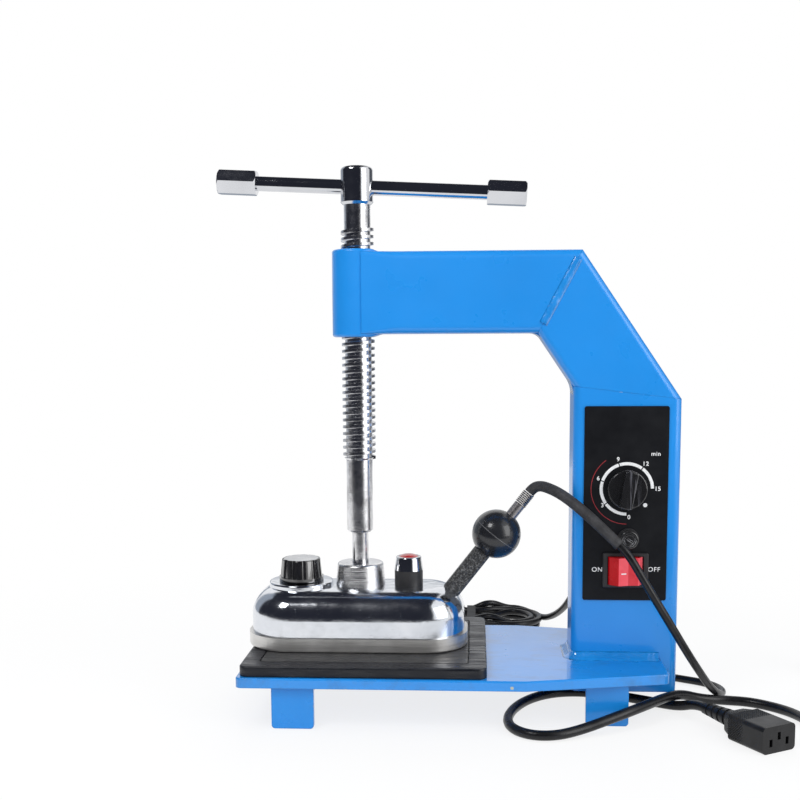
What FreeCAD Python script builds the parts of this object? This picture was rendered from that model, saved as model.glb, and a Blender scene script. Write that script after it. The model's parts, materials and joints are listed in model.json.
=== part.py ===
import FreeCAD, Part
import math
import os

V = FreeCAD.Vector

# All lengths in millimetres. While it is built, the screw axis is X = Y = 0 and the floor is Z = 0.
# X runs from the screw to the column, +Y goes to the back and +Z goes up.
# The finished pieces are moved along X once, so that the origin lies under the middle of the machine.

# Base plate and its four angle feet
FOOT_HEIGHT = 30.0
FOOT_WIDTH = 29.5
FOOT_THICKNESS = 4.0
FOOT_FLANGE = 24.0
FOOT_CORNER = 2.5
FOOT_LEFT_X = -41.0
FOOT_RIGHT_X = 177.0
FOOT_LEFT_HALF_SPREAD = 72.0
FOOT_RIGHT_HALF_SPREAD = 57.5
PLATE_THICKNESS = 7.0
PLATE_LEFT = -80.3
PLATE_RIGHT = 220.0
PLATE_HALF_DEPTH = 77.0
PLATE_TAPER_START = 120.0
PLATE_END_HALF_DEPTH = 56.0
PLATE_CORNER = 5.0
PLATE_EDGE_ROUND = 1.2

# Welded frame: column, slanted brace and arm of rectangular tube
TUBE_DEPTH = 37.4
TUBE_WALL = 2.5
TUBE_CORNER = 5.5
ARM_WIDTH = 58.2
ARM_BOTTOM = 272.3
ELBOW_INNER_X = 129.5
BRACE_ANGLE = 34.0
COLUMN_LEFT = 155.0
COLUMN_WIDTH = 76.4
COLUMN_BOTTOM = 12.6
ARM_START_X = 4.0
ARM_END_LENGTH = 24.0
ARM_END_CORNER = 1.2
WELD_LEG = 5.5
WELD_THROAT_SHARE = 0.38
WELD_FROM_PLATE_END = 2.0
ELBOW_FILL_RUN = 5.0
SEAM_FILL_RUN = 6.0
MITRE_BEAD_WIDTH = 6.0
MITRE_BEAD_HEIGHT = 1.2
MITRE_BEAD_INSET = 6.5

# Nut boss and trapezoidal screw
BOSS_DIAMETER = 37.0
BOSS_OVERHANG = 2.1
BOSS_EDGE_ROUND = 2.0
BOSS_SLOPE_START = 9.0
SCREW_DIAMETER = 24.0
SCREW_PITCH = 5.0
THREAD_DEPTH = 2.4
THREAD_CREST = 1.9
THREAD_ROOT = 3.0
THREAD_CLEARANCE = 0.35
THREAD_BOTTOM = 180.7
THREAD_END_DIAMETER = 22.2
THREAD_END_RISE = 1.6
THREAD_SINK = 0.3
THREAD_RUN_OUT = 1.5
NECK_LENGTH = 13.7
NECK_DIAMETER = 19.4
SHANK_DIAMETER = 19.3
SHANK_BOTTOM = 127.1
SHANK_CHAMFER = 1.6
CAP_DIAMETER = 23.6
CAP_BELOW_BAR = 12.5
CAP_ABOVE_BAR = 14.3
CAP_ROUND = 3.0
CAP_CHAMFER = 1.8
SPIGOT_DIAMETER = 13.0
SPIGOT_LENGTH = 4.0
PIN_DIAMETER = 12.2
PIN_GROOVE_DIAMETER = 9.2
PIN_GROOVE_WIDTH = 3.4
PIN_GROOVE_ABOVE_END = 2.4

# Sliding tommy bar through the cap
BAR_DIAMETER = 10.5
BAR_ABOVE_ARM = 46.5
BAR_LEAN = 2.9
BAR_REACH_LEFT = 100.3
BAR_REACH_RIGHT = 121.8
BAR_END_LENGTH = 28.0
BAR_END_FLATS = 16.5
BAR_END_CHAMFER = 1.2
BAR_TENON_DIAMETER = 6.5
RUNNING_CLEARANCE = 0.06

# Rubber pad with its inlaid sheet
PAD_LEFT = -78.2
PAD_RIGHT = 93.5
PAD_HALF_DEPTH = 74.0
PAD_THICKNESS = 7.5
PAD_CORNER = 6.5
PAD_EDGE_ROUND = 1.5
PAD_POCKET_MARGIN = 12.5
PAD_POCKET_DEPTH = 2.5
PAD_POCKET_CORNER = 3.0
PAD_GROOVE = 0.9

# Heated head
REST_GAP = 0.3
HEAD_CENTRE_X = -1.3
HEATER_LENGTH = 162.0
HEATER_DEPTH = 78.6
HEATER_THICKNESS = 10.0
HEATER_CORNER = 32.0
HEATER_EDGE_ROUND = 1.5
COVER_LENGTH = 157.6
COVER_DEPTH = 74.6
COVER_HEIGHT = 32.2
COVER_CORNER = 31.0
COVER_TOP_ROUND = 20.0
COVER_WALL = 1.5
MICA_LENGTH = 118.0
MICA_DEPTH = 44.0
MICA_CORNER = 6.0
MICA_THICKNESS = 1.6
CLAMP_THICKNESS = 3.0
STUD_DIAMETER = 8.0
STUD_IN_PLATE = 6.0
SPACER_DIAMETER = 16.0
CUP_BASE_DIAMETER = 36.8
CUP_TOP_DIAMETER = 34.0
CUP_HEIGHT = 17.0
CUP_RIM_ROUND = 2.2
CUP_FLOOR = 6.5
STUD_ENGAGEMENT = 5.0
GRUB_DIAMETER = 5.0
GRUB_SOCKET_FLATS = 2.5
GRUB_SOCKET_DEPTH = 2.5
GRUB_SHOULDER_GAP = 0.5
GRUB_SUNK = 1.0
THERMOSTAT_X = -44.5
DISC_DIAMETER = 47.6
DISC_HEIGHT = 3.0
DISC_ROUND = 1.4
THERMOSTAT_BODY_SIZE = 26.0
THERMOSTAT_BODY_HEIGHT = 22.0
BUSH_DIAMETER = 9.0
BUSH_RISE = 2.0
SHAFT_DIAMETER = 6.0
SHAFT_IN_BUSH = 10.0
SHAFT_BORE_DEPTH = 12.0
SHAFT_IN_KNOB = 10.0
THERMOSTAT_KNOB_SKIRT = 33.2
THERMOSTAT_KNOB_TOP = 28.4
THERMOSTAT_KNOB_HEIGHT = 16.0
THERMOSTAT_SKIRT_HEIGHT = 2.6
THERMOSTAT_KNOB_LEAN = 1.3
THERMOSTAT_KNOB_EDGE = 1.0
THERMOSTAT_FLUTES = 12
THERMOSTAT_FLUTE_RADIUS = 1.6
THERMOSTAT_FLUTE_OFFSET = 0.25
KNOB_GAP = 0.6
KNOB_INSERT_DIAMETER = 25.0
KNOB_INSERT_THICKNESS = 0.8
LAMP_X = 36.0
LAMP_COLLAR_DIAMETER = 21.0
LAMP_COLLAR_HEIGHT = 11.5
LAMP_BEZEL_DIAMETER = 21.6
LAMP_BEZEL_TOP_DIAMETER = 18.6
LAMP_BEZEL_HEIGHT = 10.0
LAMP_BEZEL_ROUND = 1.2
LAMP_LENS_DIAMETER = 14.6
LAMP_LENS_RISE = 1.8
LAMP_STEM_DIAMETER = 11.5
LAMP_STEM_DEPTH = 16.0

# Handle of the head
HANDLE_FOOT_X = 68.6
HANDLE_ANGLE = 52.0
HANDLE_BAR_WIDTH = 13.2
HANDLE_BAR_DEPTH = 8.0
HANDLE_BAR_ROUND = 2.4
HANDLE_WIRE_BORE = 5.0
HANDLE_FOOT_LENGTH = 22.0
HANDLE_FOOT_WIDTH = 16.0
HANDLE_FOOT_THICKNESS = 2.5
HANDLE_FOOT_SHIFT = 4.0
HANDLE_BASE_SUNK = 3.0
HANDLE_BORE_START = 8.0
HANDLE_IN_BALL = 6.0
BALL_DIAMETER = 36.0
BALL_DISTANCE = 52.6
FERRULE_DIAMETER = 8.4
FERRULE_END = 28.0
FERRULE_SEAT = 9.0
SPRING_OUTER_DIAMETER = 9.2
SPRING_WIRE = 1.1
SPRING_CURLS = 7
SPRING_LENGTH = 11.0
SLEEVE_DIAMETER = 7.9
SLEEVE_BORE = 6.3

# Control panel and what is mounted in it
PANEL_LEFT = 162.7
PANEL_WIDTH = 59.5
PANEL_BOTTOM = 80.8
PANEL_HEIGHT = 139.8
PANEL_THICKNESS = 1.0
PANEL_CORNER = 1.5
TIMER_X = 193.1
TIMER_Z = 161.6
TIMER_BODY_SIZE = 42.0
TIMER_BODY_DEPTH = 23.0
TIMER_BODY_ROUND = 3.0
TIMER_SHAFT_IN_BODY = 8.0
TIMER_KNOB_DIAMETER = 27.9
TIMER_KNOB_BASE_HEIGHT = 6.0
TIMER_KNOB_HEIGHT = 13.5
TIMER_KNOB_WALL = 4.0
TIMER_KNOB_ROUND = 1.0
TIMER_RIB_WIDTH = 9.0
TIMER_RIB_INSET = 0.6
TIMER_RIB_SINK = 1.0
TIMER_RIB_TURN = 10.0
TIMER_NUT_FLATS = 14.0
TIMER_NUT_THICKNESS = 2.2
TIMER_NUT_CLEARANCE = 0.8
TIMER_BUSH_ABOVE_NUT = 0.8
FUSE_X = 194.6
FUSE_Z = 125.8
FUSE_CAP_DIAMETER = 13.1
FUSE_CAP_HEIGHT = 7.5
FUSE_CAP_ROUND = 0.9
FUSE_CAP_STEM_DIAMETER = 8.0
FUSE_RING_OUTER_DIAMETER = 9.2
FUSE_RING_INNER_DIAMETER = 7.2
FUSE_RING_DEPTH = 0.8
FUSE_SLOT_LENGTH = 6.4
FUSE_SLOT_WIDTH = 1.2
FUSE_SLOT_DEPTH = 1.4
FUSE_SLOT_TURN = 35.0
FUSE_BODY_DIAMETER = 12.0
FUSE_BODY_LENGTH = 27.0
FUSE_FLANGE_DIAMETER = 14.9
FUSE_FLANGE_THICKNESS = 1.6
FUSE_LINK_DIAMETER = 5.0
FUSE_LINK_LENGTH = 20.0
FUSE_LINK_BEHIND_FACE = 3.0
SWITCH_X = 193.0
SWITCH_Z = 102.8
SWITCH_WIDTH = 32.5
SWITCH_HEIGHT = 25.3
SWITCH_BEZEL = 2.0
SWITCH_BEZEL_CORNER = 1.2
SWITCH_BEZEL_CHAMFER = 0.6
SWITCH_BODY_WIDTH = 28.6
SWITCH_BODY_HEIGHT = 21.8
SWITCH_BODY_DEPTH = 26.0
ROCKER_RADIUS = 12.6
ROCKER_HEIGHT = 20.0
ROCKER_PIVOT_DEPTH = 2.5
ROCKER_TOP_HALF = 7.6
ROCKER_TOP_RISE = 8.3
ROCKER_TOP_DISH = 0.9
ROCKER_TOP_ROUND = 1.0
ROCKER_FOOT_DEPTH = 5.5
ROCKER_WELL_DEPTH = 7.5
ROCKER_REST_TILT = 10.0
ROCKER_PIN_DIAMETER = 3.0
ROCKER_PIN_REACH = 0.6
ROCKER_PIN_END_GAP = 0.2
ROCKER_CLEARANCE = 0.25

# Back of the column
COVER_PLATE_LEFT = 158.0
COVER_PLATE_WIDTH = 70.4
COVER_PLATE_BOTTOM = 46.0
COVER_PLATE_HEIGHT = 140.0
COVER_PLATE_THICKNESS = 1.5
COVER_PLATE_CORNER = 3.0
ACCESS_MARGIN_X = 5.0
ACCESS_MARGIN_Z = 11.0
SCREW_HEAD_DIAMETER = 7.0
SCREW_HEAD_HEIGHT = 2.4
SCREW_HEAD_ROUND = 1.0
SCREW_CROSS_LENGTH = 4.0
SCREW_CROSS_WIDTH = 0.8
SCREW_CROSS_DEPTH = 1.0
SCREW_SHANK_DIAMETER = 3.9
COVER_SCREW_LENGTH = 6.0
INLET_SCREW_LENGTH = 7.0
INLET_X = 193.0
INLET_Z = 70.0
INLET_FLANGE_WIDTH = 50.0
INLET_FLANGE_HEIGHT = 24.0
INLET_FLANGE_THICKNESS = 3.0
INLET_FLANGE_CORNER = 5.0
INLET_BODY_WIDTH = 28.0
INLET_BODY_HEIGHT = 20.0
INLET_BODY_DEPTH = 17.0
INLET_CAVITY_WIDTH = 24.6
INLET_CAVITY_HEIGHT = 16.6
INLET_CAVITY_DEPTH = 15.5
INLET_CAVITY_CUT = 4.5
INLET_SCREW_SPACING = 40.0
INLET_PIN_WIDTH = 2.0
INLET_PIN_HEIGHT = 4.0
INLET_PIN_SPACING = 7.0
INLET_PIN_OFFSET = 2.0
INLET_PIN_RECESS = 2.5
GLAND_X = 173.0
GLAND_Z = 108.0
GLAND_FLATS = 15.0
GLAND_FLANGE = 5.0
GLAND_THREAD_DIAMETER = 11.6
GLAND_THREAD_LENGTH = 9.0
GLAND_DOME_LENGTH = 10.0
GLAND_TAIL_LENGTH = 14.0
GLAND_TAIL_DIAMETER = 8.6
GLAND_DOME_STEP = 1.6
GLAND_TAIL_END_WALL = 0.6
GLAND_NUT_THICKNESS = 4.0

# Terminal strip inside the column
TERMINAL_X = 193.0
TERMINAL_Z = 62.0
TERMINAL_LENGTH = 40.0
TERMINAL_HEIGHT = 16.0
TERMINAL_DEPTH = 13.0
TERMINAL_WAYS = 5
TERMINAL_BORE = 3.4
TERMINAL_SLIT_WIDTH = 1.0
TERMINAL_SLIT_DEPTH = 3.0

# Cords
HEAD_CORD_DIAMETER = 5.8
MAINS_CORD_DIAMETER = 7.0

# Line connector on the mains lead
CONNECTOR_TAIL_LENGTH = 30.0
CONNECTOR_TAIL_TOP = 13.0
CONNECTOR_WAIST_LENGTH = 8.0
CONNECTOR_WAIST_WIDTH = 20.0
CONNECTOR_WAIST_HEIGHT = 15.0
CONNECTOR_WAIST_CORNER = 4.0
CONNECTOR_LENGTH = 32.0
CONNECTOR_WIDTH = 28.0
CONNECTOR_HEIGHT = 18.0
CONNECTOR_CORNER = 3.0
CONNECTOR_SHOULDER_WIDTH = 26.0
CONNECTOR_SHOULDER_HEIGHT = 17.0
CONNECTOR_SOCKET_WIDTH = 2.6
CONNECTOR_SOCKET_HEIGHT = 5.0
CONNECTOR_SOCKET_DEPTH = 14.0
CONNECTOR_GROOVES = 4
CONNECTOR_GROOVE_WIDTH = 2.4
CONNECTOR_GROOVE_RADIUS = 4.1
CONNECTOR_GROOVE_GROWTH = 0.35

# Mains plug
PLUG_TAIL_LENGTH = 24.0
PLUG_TAIL_TOP = 14.0
PLUG_LENGTH = 30.0
PLUG_NECK_DIAMETER = 20.0
PLUG_DIAMETER = 34.8
PLUG_GROOVES = 3
PLUG_GROOVE_WIDTH = 2.2
PLUG_GROOVE_RADIUS = 4.3
PLUG_GROOVE_GROWTH = 0.5
PLUG_PIN_DIAMETER = 4.8
PLUG_PIN_LENGTH = 19.0
PLUG_PIN_SPACING = 19.0
TAIL_WALL = 0.7
RIB_START = 5.0
RIB_PITCH = 6.0

# Cutters stand proud of what they cut by this much
OVERSHOOT = 1.0


def cylinder(radius, height, base, direction=V(0, 0, 1)):
    return Part.makeCylinder(radius, height, base, direction)


def block(x0, x1, y0, y1, z0, z1):
    return Part.makeBox(x1 - x0, y1 - y0, z1 - z0, V(x0, y0, z0))


def back_cylinder(diameter, y0, y1, x, z):
    """A cylinder along Y between two depths."""
    return cylinder(diameter / 2, y1 - y0, V(x, y0, z), V(0, 1, 0))


def drilled_up(shape, diameter, x=0.0):
    """The shape with a round hole right through it along Z."""
    box = shape.BoundBox
    length = box.ZLength + 2 * OVERSHOOT
    return shape.cut(cylinder(diameter / 2, length, V(x, 0, box.ZMin - OVERSHOOT)))


def drilled_back(shape, diameter, x, z):
    """The shape with a round hole right through it along Y."""
    box = shape.BoundBox
    return shape.cut(back_cylinder(diameter, box.YMin - OVERSHOOT, box.YMax + OVERSHOOT, x, z))


def cross_block(width, height, y0, y1, x, z):
    """A block along Y between two depths, centred on a point of the XZ plane."""
    return block(x - width / 2, x + width / 2, y0, y1, z - height / 2, z + height / 2)


def rounded_outline(length, width, radius):
    """A closed rectangle about the origin of the XY plane, with arcs at its corners."""
    a = length / 2
    b = width / 2
    r = radius
    s = r * math.sqrt(0.5)
    points = [V(-a + r, -b), V(a - r, -b), V(a, -b + r), V(a, b - r)]
    points += [V(a - r, b), V(-a + r, b), V(-a, b - r), V(-a, -b + r)]
    mids = [V(a - r + s, -b + r - s), V(a - r + s, b - r + s)]
    mids += [V(-a + r - s, b - r + s), V(-a + r - s, -b + r - s)]
    edges = []
    for i in range(4):
        start = points[2 * i]
        end = points[2 * i + 1]
        after = points[(2 * i + 2) % 8]
        if start.distanceToPoint(end) > 1e-6:
            edges.append(Part.LineSegment(start, end).toShape())
        edges.append(Part.Arc(end, mids[i], after).toShape())
    return Part.Wire(edges)


def rounded_prism(length, width, radius, height, centre):
    face = Part.Face(rounded_outline(length, width, radius))
    solid = face.extrude(V(0, 0, height))
    solid.translate(centre)
    return solid


def hexagon_prism(flats, height, base, direction, twist=0.0):
    radius = flats / math.sqrt(3)
    corners = []
    for i in range(7):
        angle = math.radians(60 * i + twist)
        corners.append(V(radius * math.cos(angle), radius * math.sin(angle), 0))
    solid = Part.Face(Part.makePolygon(corners)).extrude(V(0, 0, height))
    solid.Placement = FreeCAD.Placement(base, FreeCAD.Rotation(V(0, 0, 1), direction))
    return solid


def edges_at_height(shape, z, tolerance=0.01):
    level = []
    for edge in shape.Edges:
        box = edge.BoundBox
        if abs(box.ZMin - z) < tolerance and abs(box.ZMax - z) < tolerance:
            level.append(edge)
    return level


def side_of_line(p, q, reach=600.0):
    """A slab of the XZ plane on the left of the line from p to q, as a thick prism."""
    along = V(q[0] - p[0], 0, q[1] - p[1])
    along.normalize()
    left = V(-along.z, 0, along.x)
    start = V(p[0], 0, p[1]) - along * reach
    end = V(q[0], 0, q[1]) + along * reach
    outline = [start, end, end + left * reach, start + left * reach, start]
    prism = Part.Face(Part.makePolygon(outline)).extrude(V(0, reach, 0))
    prism.translate(V(0, -reach / 2, 0))
    return prism


# Values that follow from the driving sizes
PLATE_BOTTOM = FOOT_HEIGHT
PLATE_TOP = PLATE_BOTTOM + PLATE_THICKNESS
PAD_TOP = PLATE_TOP + PAD_THICKNESS
COLUMN_RIGHT = COLUMN_LEFT + COLUMN_WIDTH
COLUMN_MIDDLE = COLUMN_LEFT + COLUMN_WIDTH / 2
FRONT = -TUBE_DEPTH / 2
BACK = TUBE_DEPTH / 2
ARM_TOP = ARM_BOTTOM + ARM_WIDTH
BAR_HEIGHT = ARM_TOP + BAR_ABOVE_ARM
CAP_BOTTOM = BAR_HEIGHT - CAP_BELOW_BAR
CAP_TOP = BAR_HEIGHT + CAP_ABOVE_BAR
NECK_BOTTOM = CAP_BOTTOM - NECK_LENGTH
ELBOW_OUTER_X = ELBOW_INNER_X + ARM_WIDTH * math.tan(math.radians((90 - BRACE_ANGLE) / 2))
BRACE_SLOPE = math.tan(math.radians(BRACE_ANGLE))
SEAM_LEFT_Z = ARM_BOTTOM - (COLUMN_LEFT - ELBOW_INNER_X) / BRACE_SLOPE
SEAM_RIGHT_Z = ARM_TOP - (COLUMN_RIGHT - ELBOW_OUTER_X) / BRACE_SLOPE
HEATER_BOTTOM = PAD_TOP + REST_GAP
HEATER_TOP = HEATER_BOTTOM + HEATER_THICKNESS
STUD_BOTTOM = HEATER_TOP - STUD_IN_PLATE
COVER_TOP = HEATER_TOP + COVER_HEIGHT
DISC_TOP = COVER_TOP + DISC_HEIGHT
CLAMP_BOTTOM = HEATER_TOP + MICA_THICKNESS
CLAMP_TOP = CLAMP_BOTTOM + CLAMP_THICKNESS
CUP_TOP = COVER_TOP + CUP_HEIGHT
PIN_BOTTOM = COVER_TOP + CUP_FLOOR + REST_GAP
PIN_GROOVE_BOTTOM = PIN_BOTTOM + PIN_GROOVE_ABOVE_END
PIN_GROOVE_MIDDLE = PIN_GROOVE_BOTTOM + PIN_GROOVE_WIDTH / 2
SCREW_ROOT_RADIUS = SCREW_DIAMETER / 2 - THREAD_DEPTH
PANEL_FACE = FRONT - PANEL_THICKNESS
WALL_INSIDE_FRONT = FRONT + TUBE_WALL
COVER_PLATE_FACE = BACK + COVER_PLATE_THICKNESS
BEZEL_FACE = PANEL_FACE - SWITCH_BEZEL
ROCKER_PIVOT_Y = BEZEL_FACE + ROCKER_PIVOT_DEPTH
BAR_AXIS = V(math.cos(math.radians(BAR_LEAN)), 0, -math.sin(math.radians(BAR_LEAN)))
HANDLE_AXIS = V(math.cos(math.radians(HANDLE_ANGLE)), 0, math.sin(math.radians(HANDLE_ANGLE)))
HANDLE_BASE = V(HANDLE_FOOT_X, 0, COVER_TOP - HANDLE_BASE_SUNK)
BALL_CENTRE = HANDLE_BASE + HANDLE_AXIS * BALL_DISTANCE
FERRULE_TIP = BALL_CENTRE + HANDLE_AXIS * FERRULE_END
SPRING_TIP = FERRULE_TIP + HANDLE_AXIS * SPRING_LENGTH

pieces = {}


def add(name, shape):
    pieces[name] = shape


# Straight runs and tangent arcs for the cords

def corner_arc(before, corner, after, tangent):
    """The arc that rounds one corner, touching both runs at the given distance from it."""
    u = (before - corner).normalize()
    w = (after - corner).normalize()
    start = corner + u * tangent
    end = corner + w * tangent
    half_turn = (math.pi - u.getAngle(w)) / 2
    radius = tangent / math.tan(half_turn)
    bisector = (u + w).normalize()
    middle = corner + bisector * (radius / math.cos(half_turn) - radius)
    return start, middle, end, radius


def route_wire(label, points):
    """Straight runs joined by tangent arcs, each as large as its two runs allow."""
    edges = []
    radii = []
    here = points[0]
    for i in range(1, len(points) - 1):
        before = points[i - 1]
        corner = points[i]
        after = points[i + 1]
        shorter = min(before.distanceToPoint(corner), corner.distanceToPoint(after))
        start, middle, end, radius = corner_arc(before, corner, after, 0.45 * shorter)
        edges.append(Part.LineSegment(here, start).toShape())
        edges.append(Part.Arc(start, middle, end).toShape())
        radii.append(radius)
        here = end
    edges.append(Part.LineSegment(here, points[-1]).toShape())
    length = sum(edge.Length for edge in edges)
    print(label, "length", round(length, 1), "radii", [round(r) for r in radii])
    return Part.Wire(edges)


def biarc(p0, t0, p1, t1):
    """Two arcs from p0 along t0 to p1 along t1, as a list of edges."""
    v = p1 - p0
    total = t0 + t1
    denominator = 2 * (1 - t0.dot(t1))
    if denominator < 1e-9:
        d = v.dot(v) / (4 * v.dot(t1))
    else:
        d = (-v.dot(total) + math.sqrt(v.dot(total) ** 2 + denominator * v.dot(v))) / denominator
    joint = (p0 + p1 + (t0 - t1) * d) * 0.5
    edges = []
    for start, corner, end in ((p0, p0 + t0 * d, joint), (joint, p1 - t1 * d, p1)):
        u = start - corner
        w = end - corner
        if u.normalize().cross(w.normalize()).Length < 1e-6:
            edges.append(Part.LineSegment(start, end).toShape())
            continue
        middle = corner_arc(start, corner, end, start.distanceToPoint(corner))[1]
        edges.append(Part.Arc(start, middle, end).toShape())
    return edges


def biarc_wire(stations):
    edges = []
    for (p0, t0), (p1, t1) in zip(stations, stations[1:]):
        if abs(t0.dot(t1) - 1) < 1e-9 and (p1 - p0).normalize().cross(t0).Length < 1e-9:
            edges.append(Part.LineSegment(p0, p1).toShape())
        else:
            edges.extend(biarc(p0, t0, p1, t1))
    return Part.Wire(edges)


def tube_along(label, wire, diameter, bore=0.0):
    first = wire.OrderedEdges[0]
    start = first.valueAt(first.FirstParameter)
    direction = first.tangentAt(first.FirstParameter)
    if start.distanceToPoint(wire.OrderedVertexes[0].Point) > 1e-6:
        start = first.valueAt(first.LastParameter)
        direction = first.tangentAt(first.LastParameter) * -1
    profile = Part.Wire(Part.makeCircle(diameter / 2, start, direction))
    solid = wire.makePipeShell([profile], True, False)
    expected = math.pi * diameter ** 2 / 4 * wire.Length
    share = round(solid.Volume / expected, 4)
    print(label, "volume over section times length", share, "valid", solid.isValid())
    if bore:
        hole = wire.makePipeShell([Part.Wire(Part.makeCircle(bore / 2, start, direction))], True, False)
        solid = solid.cut(hole)
    return solid


def least_gap(label, wire, diameter, window):
    """The least distance of a wound tube to itself, measured between points along its line."""
    count = int(wire.Length / 3.0)
    points = wire.discretize(count)
    step = wire.Length / (count - 1)
    skip = int(window / step)
    least = 1e9
    for i in range(count):
        for j in range(i + skip, count):
            d = points[i].distanceToPoint(points[j])
            if d < least:
                least = d
    print(label, "least gap to itself", round(least - diameter, 2))


# Base plate

def plate_outline():
    corners = [(PLATE_LEFT, -PLATE_HALF_DEPTH), (PLATE_TAPER_START, -PLATE_HALF_DEPTH)]
    corners += [(PLATE_RIGHT, -PLATE_END_HALF_DEPTH), (PLATE_RIGHT, PLATE_END_HALF_DEPTH)]
    corners += [(PLATE_TAPER_START, PLATE_HALF_DEPTH), (PLATE_LEFT, PLATE_HALF_DEPTH)]
    points = [V(x, y, PLATE_BOTTOM) for x, y in corners]
    return Part.Face(Part.makePolygon(points + [points[0]]))


def make_base_plate():
    plate = plate_outline().extrude(V(0, 0, PLATE_THICKNESS))
    upright = [e for e in plate.Edges if e.BoundBox.ZLength > PLATE_THICKNESS - 0.01]
    ends = [e for e in upright if abs(e.BoundBox.XMin - PLATE_TAPER_START) > 1]
    plate = plate.makeFillet(PLATE_CORNER, ends)
    plate = plate.makeFillet(PLATE_EDGE_ROUND, edges_at_height(plate, PLATE_TOP))
    start = V(COLUMN_MIDDLE, 0, PLATE_BOTTOM - OVERSHOOT)
    notch = rounded_prism(COLUMN_WIDTH, TUBE_DEPTH, TUBE_CORNER, PLATE_THICKNESS + 2 * OVERSHOOT, start)
    return plate.cut(notch)


def make_foot(x, y, outward):
    """An angle foot: a leg at the plate's edge and a flange welded under the plate."""
    half = FOOT_WIDTH / 2
    leg = block(x - half, x + half, 0, FOOT_THICKNESS, 0, FOOT_HEIGHT)
    lower = [e for e in leg.Edges if e.BoundBox.YLength > FOOT_THICKNESS - 0.01 and e.BoundBox.ZMax < 0.01]
    leg = leg.makeFillet(FOOT_CORNER, lower)
    flange = block(x - half, x + half, 0, FOOT_FLANGE, FOOT_HEIGHT - FOOT_THICKNESS, FOOT_HEIGHT)
    foot = leg.fuse(flange).removeSplitter()
    if outward > 0:
        foot = foot.mirror(V(0, 0, 0), V(0, 1, 0))
    foot.translate(V(0, y, 0))
    return foot


def make_feet():
    feet = []
    for x, spread in ((FOOT_LEFT_X, FOOT_LEFT_HALF_SPREAD), (FOOT_RIGHT_X, FOOT_RIGHT_HALF_SPREAD)):
        feet.append(make_foot(x, -spread, -1))
        feet.append(make_foot(x, spread, 1))
    return feet


# Frame tubes

def hollow_tube(width, length):
    outer = rounded_prism(width, TUBE_DEPTH, TUBE_CORNER, length, V(0, 0, 0))
    return outer.cut(tube_inside(width, length))


def tube_inside(width, length):
    inner_width = width - 2 * TUBE_WALL
    inner_depth = TUBE_DEPTH - 2 * TUBE_WALL
    return rounded_prism(inner_width, inner_depth, TUBE_CORNER - TUBE_WALL, length, V(0, 0, 0))


def make_arm():
    """The arm; towards the boss its corners are built up, so that it runs smoothly into the boss."""
    length = ELBOW_OUTER_X + ARM_END_LENGTH
    outer = rounded_prism(ARM_WIDTH, TUBE_DEPTH, TUBE_CORNER, length, V(0, 0, 0))
    square_end = rounded_outline(ARM_WIDTH, TUBE_DEPTH, ARM_END_CORNER)
    round_end = rounded_outline(ARM_WIDTH, TUBE_DEPTH, TUBE_CORNER)
    round_end.translate(V(0, 0, ARM_END_LENGTH))
    outer = outer.fuse(Part.makeLoft([square_end, round_end], True, True))
    tube = outer.cut(tube_inside(ARM_WIDTH, length))
    tube.rotate(V(0, 0, 0), V(0, 1, 0), 90)
    tube.translate(V(ARM_START_X, 0, (ARM_BOTTOM + ARM_TOP) / 2))
    tube = tube.common(side_of_line((ELBOW_INNER_X, ARM_BOTTOM), (ELBOW_OUTER_X, ARM_TOP)))
    return drilled_up(tube, BOSS_DIAMETER)


def make_brace():
    length = (ARM_TOP - SEAM_RIGHT_Z + ARM_WIDTH) * 1.5
    tube = hollow_tube(ARM_WIDTH, length)
    tube.rotate(V(0, 0, 0), V(0, 1, 0), -BRACE_ANGLE)
    angle = math.radians(BRACE_ANGLE)
    across = V(math.cos(angle), 0, math.sin(angle))
    along = V(-math.sin(angle), 0, math.cos(angle))
    middle = V(ELBOW_INNER_X, 0, ARM_BOTTOM) + across * (ARM_WIDTH / 2)
    tube.translate(middle - along * (length / 2))
    tube = tube.common(side_of_line((ELBOW_OUTER_X, ARM_TOP), (ELBOW_INNER_X, ARM_BOTTOM)))
    return tube.common(side_of_line((COLUMN_LEFT, SEAM_LEFT_Z), (COLUMN_RIGHT, SEAM_RIGHT_Z)))


def make_column():
    tube = hollow_tube(COLUMN_WIDTH, ARM_TOP - COLUMN_BOTTOM)
    tube.translate(V(COLUMN_MIDDLE, 0, COLUMN_BOTTOM))
    tube = tube.common(side_of_line((COLUMN_RIGHT, SEAM_RIGHT_Z), (COLUMN_LEFT, SEAM_LEFT_Z)))
    y0 = FRONT - OVERSHOOT
    y1 = FRONT + TUBE_WALL + OVERSHOOT
    holes = [back_cylinder(BUSH_DIAMETER, y0, y1, TIMER_X, TIMER_Z)]
    holes.append(back_cylinder(FUSE_BODY_DIAMETER, y0, y1, FUSE_X, FUSE_Z))
    holes.append(cross_block(SWITCH_BODY_WIDTH, SWITCH_BODY_HEIGHT, y0, y1, SWITCH_X, SWITCH_Z))
    y0 = BACK - TUBE_WALL - OVERSHOOT
    y1 = BACK + OVERSHOOT
    access_width = COVER_PLATE_WIDTH - 2 * ACCESS_MARGIN_X
    access_height = COVER_PLATE_HEIGHT - 2 * ACCESS_MARGIN_Z
    middle_x = COVER_PLATE_LEFT + COVER_PLATE_WIDTH / 2
    middle_z = COVER_PLATE_BOTTOM + COVER_PLATE_HEIGHT / 2
    holes.append(cross_block(access_width, access_height, y0, y1, middle_x, middle_z))
    for x, z in cover_screw_places():
        holes.append(back_cylinder(SCREW_SHANK_DIAMETER, y0, y1, x, z))
    for hole in holes:
        tube = tube.cut(hole)
    return tube


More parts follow.
